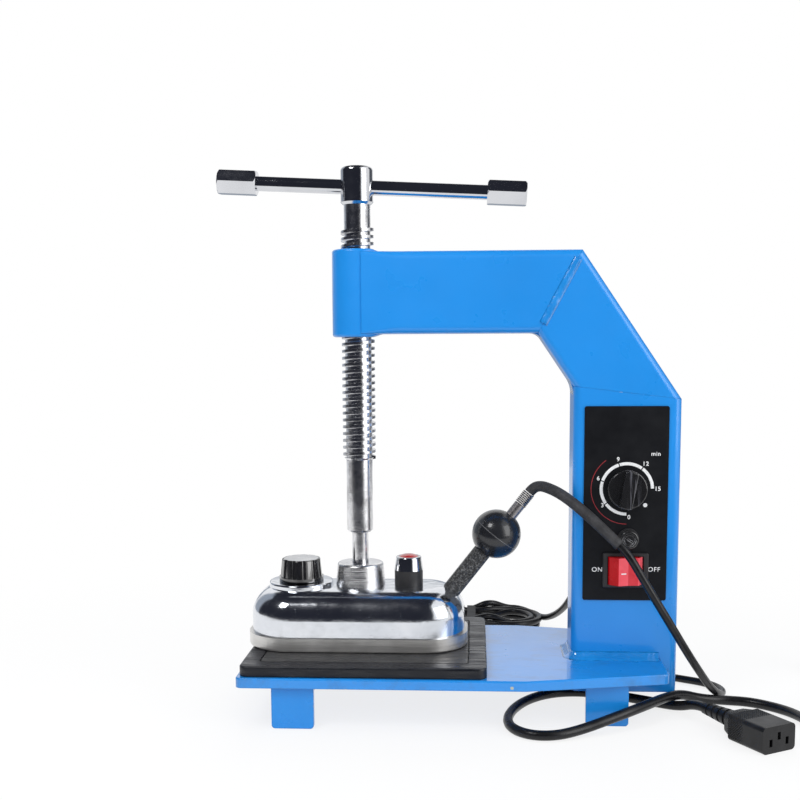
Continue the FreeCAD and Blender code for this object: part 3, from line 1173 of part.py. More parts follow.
def make_switch():
    rear = FRONT + SWITCH_BODY_DEPTH
    body = cross_block(SWITCH_BODY_WIDTH, SWITCH_BODY_HEIGHT, PANEL_FACE, rear, SWITCH_X, SWITCH_Z)
    bezel = rounded_prism(SWITCH_WIDTH, SWITCH_HEIGHT, SWITCH_BEZEL_CORNER, SWITCH_BEZEL, V(0, 0, 0))
    bezel = bezel.makeChamfer(SWITCH_BEZEL_CHAMFER, edges_at_height(bezel, SWITCH_BEZEL))
    bezel.rotate(V(0, 0, 0), V(1, 0, 0), 90)
    bezel.translate(V(SWITCH_X, PANEL_FACE, SWITCH_Z))
    well_width = 2 * (ROCKER_RADIUS + ROCKER_CLEARANCE)
    well_height = ROCKER_HEIGHT + 2 * ROCKER_CLEARANCE
    floor = ROCKER_PIVOT_Y + ROCKER_WELL_DEPTH
    well = cross_block(well_width, well_height, BEZEL_FACE - OVERSHOOT, floor, SWITCH_X, SWITCH_Z)
    pin_length = ROCKER_HEIGHT + 2 * ROCKER_PIN_REACH
    pin_low = V(SWITCH_X, ROCKER_PIVOT_Y, SWITCH_Z - pin_length / 2)
    pin = cylinder(ROCKER_PIN_DIAMETER / 2, pin_length, pin_low)
    bearing_radius = ROCKER_PIN_DIAMETER / 2 + RUNNING_CLEARANCE
    bearing_low = pin_low - V(0, 0, ROCKER_PIN_END_GAP)
    bearing = cylinder(bearing_radius, pin_length + 2 * ROCKER_PIN_END_GAP, bearing_low)
    housing = body.fuse(bezel).cut(well).cut(bearing)
    corners = rocker_outline()
    rocker = Part.Face(Part.makePolygon(corners + [corners[0]])).extrude(V(0, 0, ROCKER_HEIGHT))
    along_pivot = [e for e in rocker.Edges if e.BoundBox.ZLength > ROCKER_HEIGHT - 0.01]
    crown = [e for e in along_pivot if e.BoundBox.YMax < 0.5 - ROCKER_TOP_RISE]
    rocker = rocker.makeFillet(ROCKER_TOP_ROUND, crown)
    rocker.rotate(V(0, 0, 0), V(0, 0, 1), ROCKER_REST_TILT)
    rocker.translate(V(SWITCH_X, ROCKER_PIVOT_Y, SWITCH_Z - ROCKER_HEIGHT / 2))
    return housing, rocker.fuse(pin)


# Back of the column

def pan_head_screws(places, y_face, length):
    screws = []
    outer = y_face + SCREW_HEAD_HEIGHT
    cross_floor = outer - SCREW_CROSS_DEPTH
    for x, z in places:
        head = back_cylinder(SCREW_HEAD_DIAMETER, y_face, outer, x, z)
        head = head.makeFillet(SCREW_HEAD_ROUND, [e for e in head.Edges if e.BoundBox.YMin > outer - 0.01])
        y1 = outer + OVERSHOOT
        head = head.cut(cross_block(SCREW_CROSS_LENGTH, SCREW_CROSS_WIDTH, cross_floor, y1, x, z))
        head = head.cut(cross_block(SCREW_CROSS_WIDTH, SCREW_CROSS_LENGTH, cross_floor, y1, x, z))
        screws.append(head.fuse(back_cylinder(SCREW_SHANK_DIAMETER, y_face - length, y_face, x, z)))
    return screws


def inlet_screw_places():
    return [(INLET_X - INLET_SCREW_SPACING / 2, INLET_Z), (INLET_X + INLET_SCREW_SPACING / 2, INLET_Z)]


def make_rear_cover():
    middle_x = COVER_PLATE_LEFT + COVER_PLATE_WIDTH / 2
    middle_z = COVER_PLATE_BOTTOM + COVER_PLATE_HEIGHT / 2
    plate = cross_block(COVER_PLATE_WIDTH, COVER_PLATE_HEIGHT, BACK, COVER_PLATE_FACE, middle_x, middle_z)
    upright = [e for e in plate.Edges if e.BoundBox.YLength > COVER_PLATE_THICKNESS - 0.01]
    plate = plate.makeFillet(COVER_PLATE_CORNER, upright)
    for x, z in cover_screw_places() + inlet_screw_places():
        plate = drilled_back(plate, SCREW_SHANK_DIAMETER, x, z)
    y0 = BACK - OVERSHOOT
    y1 = COVER_PLATE_FACE + OVERSHOOT
    plate = plate.cut(cross_block(INLET_BODY_WIDTH, INLET_BODY_HEIGHT, y0, y1, INLET_X, INLET_Z))
    return drilled_back(plate, GLAND_THREAD_DIAMETER, GLAND_X, GLAND_Z)


def three_pole_places():
    """The three contacts of the inlet and of its connector, about their middle."""
    low = -INLET_PIN_OFFSET
    return [(-INLET_PIN_SPACING, low), (0.0, INLET_PIN_OFFSET), (INLET_PIN_SPACING, low)]


def make_inlet():
    face = COVER_PLATE_FACE + INLET_FLANGE_THICKNESS
    rear = COVER_PLATE_FACE - INLET_BODY_DEPTH
    cavity_floor = face - INLET_CAVITY_DEPTH
    body = cross_block(INLET_BODY_WIDTH, INLET_BODY_HEIGHT, rear, face, INLET_X, INLET_Z)
    size = (INLET_FLANGE_WIDTH, INLET_FLANGE_HEIGHT, INLET_FLANGE_CORNER, INLET_FLANGE_THICKNESS)
    flange = rounded_prism(*size, V(0, 0, 0))
    flange.rotate(V(0, 0, 0), V(1, 0, 0), -90)
    flange.translate(V(INLET_X, COVER_PLATE_FACE, INLET_Z))
    inlet = body.fuse(flange)
    a = INLET_CAVITY_WIDTH / 2
    b = INLET_CAVITY_HEIGHT / 2
    c = INLET_CAVITY_CUT
    corners = [(-a, -b), (a, -b), (a, b - c), (a - c, b), (-a + c, b), (-a, b - c)]
    points = [V(INLET_X + x, cavity_floor, INLET_Z + z) for x, z in corners]
    outline = Part.Face(Part.makePolygon(points + [points[0]]))
    inlet = inlet.cut(outline.extrude(V(0, INLET_CAVITY_DEPTH + OVERSHOOT, 0)))
    for x, z in inlet_screw_places():
        inlet = drilled_back(inlet, SCREW_SHANK_DIAMETER, x, z)
    pins = []
    pin_end = face - INLET_PIN_RECESS
    for dx, dz in three_pole_places():
        x = INLET_X + dx
        z = INLET_Z + dz
        pins.append(cross_block(INLET_PIN_WIDTH, INLET_PIN_HEIGHT, cavity_floor, pin_end, x, z))
    return inlet, Part.makeCompound(pins)


def make_gland():
    face = COVER_PLATE_FACE
    dome_base = face + GLAND_FLANGE
    back = V(0, 1, 0)
    dome_end = GLAND_TAIL_DIAMETER / 2 + GLAND_DOME_STEP
    tail_end = HEAD_CORD_DIAMETER / 2 + GLAND_TAIL_END_WALL
    gland = hexagon_prism(GLAND_FLATS, GLAND_FLANGE, V(GLAND_X, face, GLAND_Z), back)
    thread_end = face - GLAND_THREAD_LENGTH
    gland = gland.fuse(back_cylinder(GLAND_THREAD_DIAMETER, thread_end, face, GLAND_X, GLAND_Z))
    dome_start = V(GLAND_X, dome_base, GLAND_Z)
    dome = Part.makeCone(GLAND_FLATS / 2, dome_end, GLAND_DOME_LENGTH, dome_start, back)
    tail_start = V(GLAND_X, dome_base + GLAND_DOME_LENGTH, GLAND_Z)
    tail = Part.makeCone(GLAND_TAIL_DIAMETER / 2, tail_end, GLAND_TAIL_LENGTH, tail_start, back)
    gland = drilled_back(gland.fuse(dome).fuse(tail), HEAD_CORD_DIAMETER, GLAND_X, GLAND_Z)
    nut_start = V(GLAND_X, BACK - GLAND_NUT_THICKNESS, GLAND_Z)
    nut = hexagon_prism(GLAND_FLATS, GLAND_NUT_THICKNESS, nut_start, back)
    return gland, drilled_back(nut, GLAND_THREAD_DIAMETER, GLAND_X, GLAND_Z)


def make_terminal_block():
    """A screw terminal strip on the inside of the front wall, below the switch."""
    outer = WALL_INSIDE_FRONT + TERMINAL_DEPTH
    strip = cross_block(TERMINAL_LENGTH, TERMINAL_HEIGHT, WALL_INSIDE_FRONT, outer, TERMINAL_X, TERMINAL_Z)
    low = TERMINAL_Z - TERMINAL_HEIGHT / 2 - OVERSHOOT
    wire_y = outer - TERMINAL_BORE
    pitch = TERMINAL_LENGTH / TERMINAL_WAYS
    slit_height = TERMINAL_HEIGHT + 2 * OVERSHOOT
    for i in range(TERMINAL_WAYS):
        x = TERMINAL_X - TERMINAL_LENGTH / 2 + pitch * (i + 0.5)
        strip = strip.cut(cylinder(TERMINAL_BORE / 2, slit_height, V(x, wire_y, low)))
        strip = strip.cut(back_cylinder(TERMINAL_BORE, wire_y, outer, x, TERMINAL_Z))
        if i:
            y0 = outer - TERMINAL_SLIT_DEPTH
            y1 = outer + OVERSHOOT
            wall = x - pitch / 2
            strip = strip.cut(cross_block(TERMINAL_SLIT_WIDTH, slit_height, y0, y1, wall, TERMINAL_Z))
    return strip


# Sleeve and the head's cord

def points_of(rows):
    return [V(*row) for row in rows]


# The soft sleeve, from the spring on the handle down to its open end
SLEEVE_FIRST_RUN = 4.5
SLEEVE_ROUTE = [
    (132.4, -2.6, 161.6),
    (137.6, -7.4, 160.9),
    (145.4, -16.2, 158.2),
    (154.8, -25.0, 152.2),
    (164.4, -32.4, 144.6),
    (174.4, -39.0, 135.6),
    (185.6, -44.2, 125.0),
]
# The head's cord from the sleeve to the floor beside the column and on behind the plate
DROP_FIRST_RUN = 8.0
HANK_LEAD = 12.0
DROP_ROUTE = [
    (200.0, -48.6, 104.6),
    (210.6, -48.4, 87.0),
    (222.0, -46.6, 68.4),
    (233.6, -39.4, 49.4),
    (245.6, -27.8, 31.0),
    (256.4, -13.6, 15.4),
    (267.2, 1.6, 4.4),
    (273.5, 18.5, 2.9),
    (265.5, 35.5, 2.9),
    (247.0, 46.5, 2.9),
    (226.0, 58.0, 2.9),
    (206.0, 79.0, 2.9),
    (190.0, 104.5, 2.9),
    (175.5, 132.0, 2.9),
    (154.0, 156.5, 3.4),
]
# The gathered length of the head's cord behind the plate
HANK_CENTRE_X = 82.0
HANK_CENTRE_Y = 210.0
HANK_HALF_RUN = 34.0
HANK_DRAW_IN = 10.0
HANK_LOWER_OFFSETS = (33.2, 29.4, 25.6, 21.8)
HANK_UPPER_OFFSETS = (21.8, 29.4, 29.4, 37.0)
HANK_LAYER = 6.4

# The head's cord from the gathered length up to the gland on the column
GLAND_LEAD = 10.0
RISER_ROUTE = [
    (144.0, 238.0, 11.2),
    (154.0, 219.0, 15.0),
    (160.0, 196.0, 22.0),
    (164.5, 171.0, 31.5),
    (167.5, 146.0, 43.0),
    (170.0, 122.0, 56.0),
    (171.5, 101.0, 71.0),
    (172.5, 84.0, 88.0),
    (173.0, 70.0, 102.0),
]

# Straps round the gathered cords
TIE_THICKNESS = 0.9
TIE_WIDTH = 8.0
TIE_LIFT = 1.4
TIE_MARGIN = 0.4
TIE_CORNER_CUT = 0.2
GLAND_EXIT_Y = COVER_PLATE_FACE + GLAND_FLANGE + GLAND_DOME_LENGTH + GLAND_TAIL_LENGTH


def hank_stations():
    """Places and directions along the hank: runs drawn in at the waist, with half turns between them."""
    low = HEAD_CORD_DIAMETER / 2 + TIE_LIFT
    offsets = HANK_LOWER_OFFSETS + HANK_UPPER_OFFSETS
    stations = []
    side = -1
    for k, offset in enumerate(offsets):
        last_lower = len(HANK_LOWER_OFFSETS) - 1
        z0 = low if k <= last_lower else low + HANK_LAYER
        z1 = low if k < last_lower else low + HANK_LAYER
        heading = V(side, 0, 0)
        x0 = HANK_CENTRE_X - side * HANK_HALF_RUN
        x1 = HANK_CENTRE_X + side * HANK_HALF_RUN
        y = HANK_CENTRE_Y + side * offset
        waist = HANK_CENTRE_Y + side * (offset - HANK_DRAW_IN)
        slope = V(side * HANK_HALF_RUN * 2, 0, (z1 - z0) * 1.5).normalize()
        stations.append((V(x0, y, z0), heading))
        stations.append((V(HANK_CENTRE_X, waist, (z0 + z1) / 2), slope))
        stations.append((V(x1, y, z1), heading))
        if k + 1 < len(offsets):
            across = (offset + offsets[k + 1]) / 2
            middle_y = HANK_CENTRE_Y + side * (offset - offsets[k + 1]) / 2
            stations.append((V(x1 + side * across, middle_y, z1), V(0, -side, 0)))
        side = -side
    return stations


def hank_ends():
    stations = hank_stations()
    return stations[0][0], stations[-1][0]


# The mains lead, put away in a coil at the right
COIL_CENTRE_X = 368.0
COIL_CENTRE_Y = -52.0
COIL_OUTER_RADIUS = 47.0
COIL_STEP = 7.6
COIL_TURNS_PER_LAYER = 2.5
COIL_ENTRY_ANGLE = 206.0
COIL_TIE_ANGLE = 120.0
COIL_LAYER = 7.6
COIL_DIP = 1.4


def coil_place(turns):
    """Place on the coil after so many turns: in, half a turn of climb, and out again."""
    inward = COIL_TURNS_PER_LAYER
    low = MAINS_CORD_DIAMETER / 2 + TIE_LIFT
    if turns <= inward:
        radius = COIL_OUTER_RADIUS - COIL_STEP * turns
        z = low
    elif turns <= inward + 0.5:
        share = (turns - inward) / 0.5
        radius = COIL_OUTER_RADIUS - COIL_STEP * inward - COIL_DIP * math.sin(math.pi * share)
        z = low + COIL_LAYER * share * share * (3 - 2 * share)
    else:
        radius = COIL_OUTER_RADIUS - COIL_STEP * (2 * inward + 0.5 - turns)
        z = low + COIL_LAYER
    angle = math.radians(COIL_ENTRY_ANGLE + 360 * turns)
    return V(COIL_CENTRE_X + radius * math.cos(angle), COIL_CENTRE_Y + radius * math.sin(angle), z)


def coil_stations():
    stations = []
    quarters = int((2 * COIL_TURNS_PER_LAYER + 0.5) * 4)
    for i in range(quarters + 1):
        turns = i / 4
        small = 0.002
        ahead = coil_place(min(turns + small, quarters / 4))
        behind = coil_place(max(turns - small, 0))
        stations.append((coil_place(turns), (ahead - behind).normalize()))
    return stations


CONNECTOR_START = V(247.5, -42.0, 9.0)
CONNECTOR_AXIS = V(0.50, -0.866, 0.0).normalize()
LEAD_FIRST_RUN = 10.0
MAINS_ROUTE = [
    (232.5, -24.0, 5.0),
    (215.5, -13.5, 3.5),
    (197.5, -3.0, 3.5),
    (179.0, 5.0, 3.5),
    (160.0, 8.5, 3.5),
    (142.0, 4.0, 3.5),
    (126.0, -9.5, 3.5),
    (114.0, -30.0, 3.5),
    (107.5, -54.0, 3.5),
    (110.0, -75.0, 3.5),
    (122.5, -88.0, 3.5),
    (140.0, -88.0, 3.5),
    (158.0, -78.0, 3.5),
    (176.5, -70.0, 3.5),
    (194.5, -61.5, 4.5),
    (208.0, -48.0, 9.0),
    (219.5, -34.0, 13.6),
    (234.0, -20.0, 12.6),
    (251.0, -13.0, 5.6),
    (269.0, -11.0, 3.5),
    (285.5, -14.0, 3.5),
    (299.5, -23.0, 3.5),
    (311.0, -36.5, 3.9),
]
COIL_LEAD = 12.0
TAIL_FIRST_RUN = 14.0
TAIL_ROUTE = [
    (404.0, -2.0, 14.0),
]
PLUG_LEAD = 12.0
PLUG_START = V(398.5, 22.0, 17.5)
PLUG_AXIS = V(-0.30, 0.954, 0.0).normalize()


def ribbed_tail(top_diameter, length, grooves, groove_width, groove_radius, growth):
    """A cord's tapered tail with rings cut into it, built along +Z."""
    tail = Part.makeCone(MAINS_CORD_DIAMETER / 2 + TAIL_WALL, top_diameter / 2, length)
    for i in range(grooves):
        start = V(0, 0, RIB_START + i * RIB_PITCH)
        core = cylinder(groove_radius + growth * i, groove_width, start)
        tail = tail.cut(cylinder(top_diameter, groove_width, start).cut(core))
    return tail


def make_connector():
    """A line connector lying flat: a ribbed tail, a waist and a body with three sockets in its end."""
    tail = ribbed_tail(CONNECTOR_TAIL_TOP, CONNECTOR_TAIL_LENGTH, CONNECTOR_GROOVES,
                       CONNECTOR_GROOVE_WIDTH, CONNECTOR_GROOVE_RADIUS, CONNECTOR_GROOVE_GROWTH)
    body_start = CONNECTOR_TAIL_LENGTH + CONNECTOR_WAIST_LENGTH
    end = body_start + CONNECTOR_LENGTH
    neck = rounded_outline(CONNECTOR_WAIST_WIDTH, CONNECTOR_WAIST_HEIGHT, CONNECTOR_WAIST_CORNER)
    neck.translate(V(0, 0, CONNECTOR_TAIL_LENGTH))
    shoulder = rounded_outline(CONNECTOR_SHOULDER_WIDTH, CONNECTOR_SHOULDER_HEIGHT, CONNECTOR_WAIST_CORNER)
    shoulder.translate(V(0, 0, body_start))
    waist = Part.makeLoft([neck, shoulder], True, True)
    base = V(0, 0, body_start)
    body = rounded_prism(CONNECTOR_WIDTH, CONNECTOR_HEIGHT, CONNECTOR_CORNER, CONNECTOR_LENGTH, base)
    shape = tail.fuse(waist).fuse(body)
    half_w = CONNECTOR_SOCKET_WIDTH / 2
    half_h = CONNECTOR_SOCKET_HEIGHT / 2
    low = end - CONNECTOR_SOCKET_DEPTH
    for x, y in three_pole_places():
        shape = shape.cut(block(x - half_w, x + half_w, y - half_h, y + half_h, low, end + OVERSHOOT))
    return shape


def place_along(shape, start, axis):
    """Lays a piece built along +Z with its Y up, so that it starts at a point and follows an axis."""
    side = V(0, 0, 1).cross(axis)
    rotation = FreeCAD.Rotation(side, V(0, 0, 1), axis, "ZYX")
    shape.Placement = FreeCAD.Placement(start, rotation)
    return shape


def make_plug():
    """A straight two-pin mains plug with a tapered tail."""
    tail = ribbed_tail(PLUG_TAIL_TOP, PLUG_TAIL_LENGTH, PLUG_GROOVES,
                       PLUG_GROOVE_WIDTH, PLUG_GROOVE_RADIUS, PLUG_GROOVE_GROWTH)
    half = PLUG_LENGTH / 2
    body = Part.makeCone(PLUG_NECK_DIAMETER / 2, PLUG_DIAMETER / 2, half, V(0, 0, PLUG_TAIL_LENGTH))
    body = body.fuse(cylinder(PLUG_DIAMETER / 2, half, V(0, 0, PLUG_TAIL_LENGTH + half)))
    face = PLUG_TAIL_LENGTH + PLUG_LENGTH
    pins = []
    for x in (-PLUG_PIN_SPACING / 2, PLUG_PIN_SPACING / 2):
        pin = cylinder(PLUG_PIN_DIAMETER / 2, PLUG_PIN_LENGTH, V(x, 0, face))
        pins.append(pin.makeFillet(PLUG_PIN_DIAMETER / 4, edges_at_height(pin, face + PLUG_PIN_LENGTH)))
    return tail.fuse(body), Part.makeCompound(pins)


def make_tie(centre, across, height, heading, cord_diameter):
    """A flat strap round a bundle; its hole just clears the bundle's width and height."""
    corner = cord_diameter / 2 - TIE_CORNER_CUT
    outer_across = across + 2 * TIE_THICKNESS
    outer_height = height + 2 * TIE_THICKNESS
    band = rounded_prism(outer_across, outer_height, corner + TIE_THICKNESS, TIE_WIDTH, V(0, 0, 0))
    band = band.cut(rounded_prism(across, height, corner, TIE_WIDTH, V(0, 0, 0)))
    return place_along(band, centre - heading * (TIE_WIDTH / 2), heading)


def make_hank_tie():
    front = max(HANK_LOWER_OFFSETS[0], HANK_UPPER_OFFSETS[2]) - HANK_DRAW_IN
    back = max(HANK_LOWER_OFFSETS[1], HANK_UPPER_OFFSETS[3]) - HANK_DRAW_IN
    across = front + back + HEAD_CORD_DIAMETER + 2 * TIE_MARGIN
    height = HANK_LAYER + HEAD_CORD_DIAMETER + 2 * TIE_MARGIN
    middle = V(HANK_CENTRE_X, HANK_CENTRE_Y + (back - front) / 2, TIE_LIFT - TIE_MARGIN + height / 2)
    return make_tie(middle, across, height, V(1, 0, 0), HEAD_CORD_DIAMETER)


def make_coil_tie():
    turns = (COIL_TIE_ANGLE - COIL_ENTRY_ANGLE) / 360
    centre = V(COIL_CENTRE_X, COIL_CENTRE_Y, 0)
    radii = []
    for k in range(1, 6):
        place = coil_place(turns + k)
        radii.append(V(place.x, place.y, 0).distanceToPoint(centre))
    across = max(radii) - min(radii) + MAINS_CORD_DIAMETER + 2 * TIE_MARGIN
    height = COIL_LAYER + MAINS_CORD_DIAMETER + 2 * TIE_MARGIN
    angle = math.radians(COIL_TIE_ANGLE)
    outward = V(math.cos(angle), math.sin(angle), 0)
    middle = centre + outward * ((max(radii) + min(radii)) / 2)
    middle += V(0, 0, TIE_LIFT - TIE_MARGIN + height / 2)
    return make_tie(middle, across, height, V(-outward.y, outward.x, 0), MAINS_CORD_DIAMETER)


def build():
    add("base_plate", make_base_plate())
    add("foot_brackets", Part.makeCompound(make_feet()))
    add("arm_tube", make_arm())
    add("brace_tube", make_brace())
    add("column_tube", make_column())
    add("weld_beads", make_welds())
    add("screw_nut_boss", make_boss())
    add("lead_screw", make_screw())
    add("screw_cap", make_cap())
    bar, bar_ends = make_bar()
    add("tommy_bar", bar)
    add("tommy_bar_ends", bar_ends)
    pad, sheet = make_pad()
    add("rubber_pad", pad)
    add("pad_inlay", sheet)
    add("heating_plate", make_heater_plate())
    mica, clamp = make_heater_stack()
    add("heater_element", mica)
    add("heater_clamp_plate", clamp)
    add("head_cover", make_cover())
    add("pressure_cup", make_cup())
    add("cup_grub_screw", make_grub())
    stud_length = COVER_TOP + STUD_ENGAGEMENT - STUD_BOTTOM
    add("head_stud", cylinder(STUD_DIAMETER / 2, stud_length, V(0, 0, STUD_BOTTOM)))
    spacer = cylinder(SPACER_DIAMETER / 2, COVER_TOP - COVER_WALL - CLAMP_TOP, V(0, 0, CLAMP_TOP))
    add("pressure_spacer", drilled_up(spacer, STUD_DIAMETER))
    add("thermostat_body", make_thermostat())
    knob, insert, shaft = make_thermostat_knob()
    add("thermostat_knob", knob)
    add("thermostat_knob_insert", insert)
    add("thermostat_shaft", shaft)
    collar, bezel, lens = make_lamp()
    add("lamp_body", collar)
    add("lamp_bezel", bezel)
    add("lamp_lens", lens)
    handle, ball, ferrule = make_handle()
    add("handle_bar", handle)
    add("handle_ball", ball)
    add("cord_ferrule", ferrule)
    add("strain_spring", make_spring())
    add("control_panel", make_panel())
    body, nut, knob, shaft = make_timer()
    add("timer_body", body)
    add("timer_nut", nut)
    add("timer_knob", knob)
    add("timer_shaft", shaft)
    body, link, cap = make_fuse()
    add("fuse_holder", body)
    add("fuse_link", link)
    add("fuse_cap", cap)
    housing, rocker = make_switch()
    add("switch_housing", housing)
    add("switch_rocker", rocker)
    add("rear_cover", make_rear_cover())
    screws = pan_head_screws(cover_screw_places(), COVER_PLATE_FACE, COVER_SCREW_LENGTH)
    flange_face = COVER_PLATE_FACE + INLET_FLANGE_THICKNESS
    screws += pan_head_screws(inlet_screw_places(), flange_face, INLET_SCREW_LENGTH)
    add("rear_screws", Part.makeCompound(screws))
    inlet, pins = make_inlet()
    add("mains_inlet", inlet)
    add("mains_inlet_pins", pins)
    add("cord_gland", Part.makeCompound(make_gland()))
    add("terminal_block", make_terminal_block())
    make_cords()


def make_cords():
    cord = HEAD_CORD_DIAMETER
    sleeve_points = [SPRING_TIP, SPRING_TIP + HANDLE_AXIS * SLEEVE_FIRST_RUN] + points_of(SLEEVE_ROUTE)
    sleeve_path = route_wire("sleeve", sleeve_points)
    add("cord_sleeve", tube_along("sleeve", sleeve_path, SLEEVE_DIAMETER, SLEEVE_BORE))
    seat = BALL_CENTRE + HANDLE_AXIS * FERRULE_SEAT
    inner = cylinder(cord / 2, seat.distanceToPoint(SPRING_TIP), seat, HANDLE_AXIS)
    inner = inner.fuse(tube_along("cord in the sleeve", sleeve_path, cord))
    add("head_cord_inner", inner)
    hank_start, hank_end = hank_ends()
    stations = hank_stations()
    mouth = sleeve_points[-1]
    heading = (mouth - sleeve_points[-2]).normalize()
    drop = [mouth, mouth + heading * DROP_FIRST_RUN] + points_of(DROP_ROUTE)
    drop += [hank_start + V(HANK_LEAD, 0, 0), hank_start]
    add("head_cord_drop", tube_along("head cord drop", route_wire("head cord drop", drop), cord))
    hank = biarc_wire(stations)
    add("head_cord_hank", tube_along("hank", hank, cord))
    least_gap("hank", hank, cord, 40.0)
    gland_exit = V(GLAND_X, GLAND_EXIT_Y, GLAND_Z)
    riser = [hank_end, hank_end + V(HANK_LEAD, 0, 0)] + points_of(RISER_ROUTE)
    riser += [gland_exit + V(0, GLAND_LEAD, 0), gland_exit]
    add("head_cord_riser", tube_along("head cord riser", route_wire("head cord riser", riser), cord))
    cord = MAINS_CORD_DIAMETER
    coil = biarc_wire(coil_stations())
    coil_start = coil_stations()[0][0]
    start_heading = coil_stations()[0][1]
    lead = [CONNECTOR_START, CONNECTOR_START - CONNECTOR_AXIS * LEAD_FIRST_RUN] + points_of(MAINS_ROUTE)
    lead += [coil_start - start_heading * COIL_LEAD, coil_start]
    add("mains_lead", tube_along("mains lead", route_wire("mains lead", lead), cord))
    add("mains_coil", tube_along("mains coil", coil, cord))
    least_gap("mains coil", coil, cord, 60.0)
    coil_end = coil_stations()[-1][0]
    end_heading = coil_stations()[-1][1]
    tail = [coil_end, coil_end + end_heading * TAIL_FIRST_RUN] + points_of(TAIL_ROUTE)
    tail += [PLUG_START - PLUG_AXIS * PLUG_LEAD, PLUG_START]
    add("mains_tail", tube_along("mains tail", route_wire("mains tail", tail), cord))
    connector = make_connector()
    add("mains_connector", place_along(connector, CONNECTOR_START, CONNECTOR_AXIS))
    add("cord_ties", Part.makeCompound([make_hank_tie(), make_coil_tie()]))
    plug, pins = make_plug()
    add("mains_plug", place_along(plug, PLUG_START, PLUG_AXIS))
    add("mains_plug_pins", place_along(pins, PLUG_START, PLUG_AXIS))


def export():
    box = FreeCAD.BoundBox()
    on_cords = ["head_cord_drop", "head_cord_hank", "head_cord_riser", "cord_ties", "mains_lead"]
    on_cords += ["mains_coil", "mains_tail", "mains_connector", "mains_plug", "mains_plug_pins"]
    for name, shape in pieces.items():
        if name not in on_cords:
            box.add(shape.BoundBox)
    shift = -(box.XMin + box.XMax) / 2
    print("moved along X by", round(shift, 4), "machine box", box)
    os.makedirs("parts", exist_ok=True)
    for name, shape in pieces.items():
        moved = shape.copy()
        moved.translate(V(shift, 0, 0))
        moved.exportStep("parts/" + name + ".step")


build()
export()
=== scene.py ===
import json
import math

import bmesh
import bpy
from mathutils import Matrix, Vector


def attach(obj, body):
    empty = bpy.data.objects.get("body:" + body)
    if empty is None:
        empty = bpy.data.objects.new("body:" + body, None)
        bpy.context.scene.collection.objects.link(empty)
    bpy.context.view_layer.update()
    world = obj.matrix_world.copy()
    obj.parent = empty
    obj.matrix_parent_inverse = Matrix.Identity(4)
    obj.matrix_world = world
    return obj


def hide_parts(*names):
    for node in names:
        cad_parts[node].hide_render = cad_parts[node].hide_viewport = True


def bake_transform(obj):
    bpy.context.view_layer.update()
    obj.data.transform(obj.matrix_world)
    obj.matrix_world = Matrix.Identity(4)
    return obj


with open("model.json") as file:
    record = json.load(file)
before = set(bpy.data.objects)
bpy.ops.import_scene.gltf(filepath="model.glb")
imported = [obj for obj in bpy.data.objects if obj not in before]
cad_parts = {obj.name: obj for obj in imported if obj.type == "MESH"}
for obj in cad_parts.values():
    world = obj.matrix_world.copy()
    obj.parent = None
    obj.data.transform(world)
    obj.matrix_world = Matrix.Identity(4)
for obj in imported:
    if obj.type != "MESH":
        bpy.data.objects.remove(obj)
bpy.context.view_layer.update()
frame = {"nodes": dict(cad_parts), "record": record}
nodes = frame["nodes"]

MM = 0.001
# Places are given in millimetres from the screw's axis, as in the part's source, and at() moves them
# to the frame's origin.
SCREW_X = -65.4055


def at(x, y, z):
    return Vector(((x + SCREW_X) * MM, y * MM, z * MM))


def link_object(obj):
    bpy.context.scene.collection.objects.link(obj)
    return obj


def mesh_object(name, shape):
    mesh = bpy.data.meshes.new(name)
    shape.to_mesh(mesh)
    shape.free()
    return link_object(bpy.data.objects.new(name, mesh))


# Places that materials and cords share

HANDLE_AXIS = Vector((0.61566, 0.0, 0.78801))
BALL_CENTRE = at(100.98, 0.0, 125.45)
CONNECTOR_SEAT = at(247.5, -42.0, 9.0)
CONNECTOR_HEADING = Vector((0.5, -0.866, 0.0))


# Camera

CAMERA_PLACE = at(84.64, -810.35, 263.83)
CAMERA_YAW = 3.345
CAMERA_TILT = 83.496
CAMERA_ROLL = -0.293
CAMERA_LENS = 49.86
CAMERA_SENSOR = 36.0
CAMERA_SHIFT_X = -0.0125
CAMERA_SHIFT_Y = 0.090
CAMERA_NEAR = 0.01
CAMERA_FAR = 60.0


def turned(degrees, axis):
    return Matrix.Rotation(math.radians(degrees), 4, axis)


camera_data = bpy.data.cameras.new("camera")
camera_data.lens = CAMERA_LENS
camera_data.sensor_width = CAMERA_SENSOR
camera_data.shift_x = CAMERA_SHIFT_X
camera_data.shift_y = CAMERA_SHIFT_Y
camera_data.clip_start = CAMERA_NEAR
camera_data.clip_end = CAMERA_FAR
camera = link_object(bpy.data.objects.new("camera", camera_data))
aim = Matrix.Translation(CAMERA_PLACE) @ turned(CAMERA_YAW, "Z") @ turned(CAMERA_TILT, "X")
camera.matrix_world = aim @ turned(CAMERA_ROLL, "Z")
bpy.context.scene.camera = camera


# Material building blocks

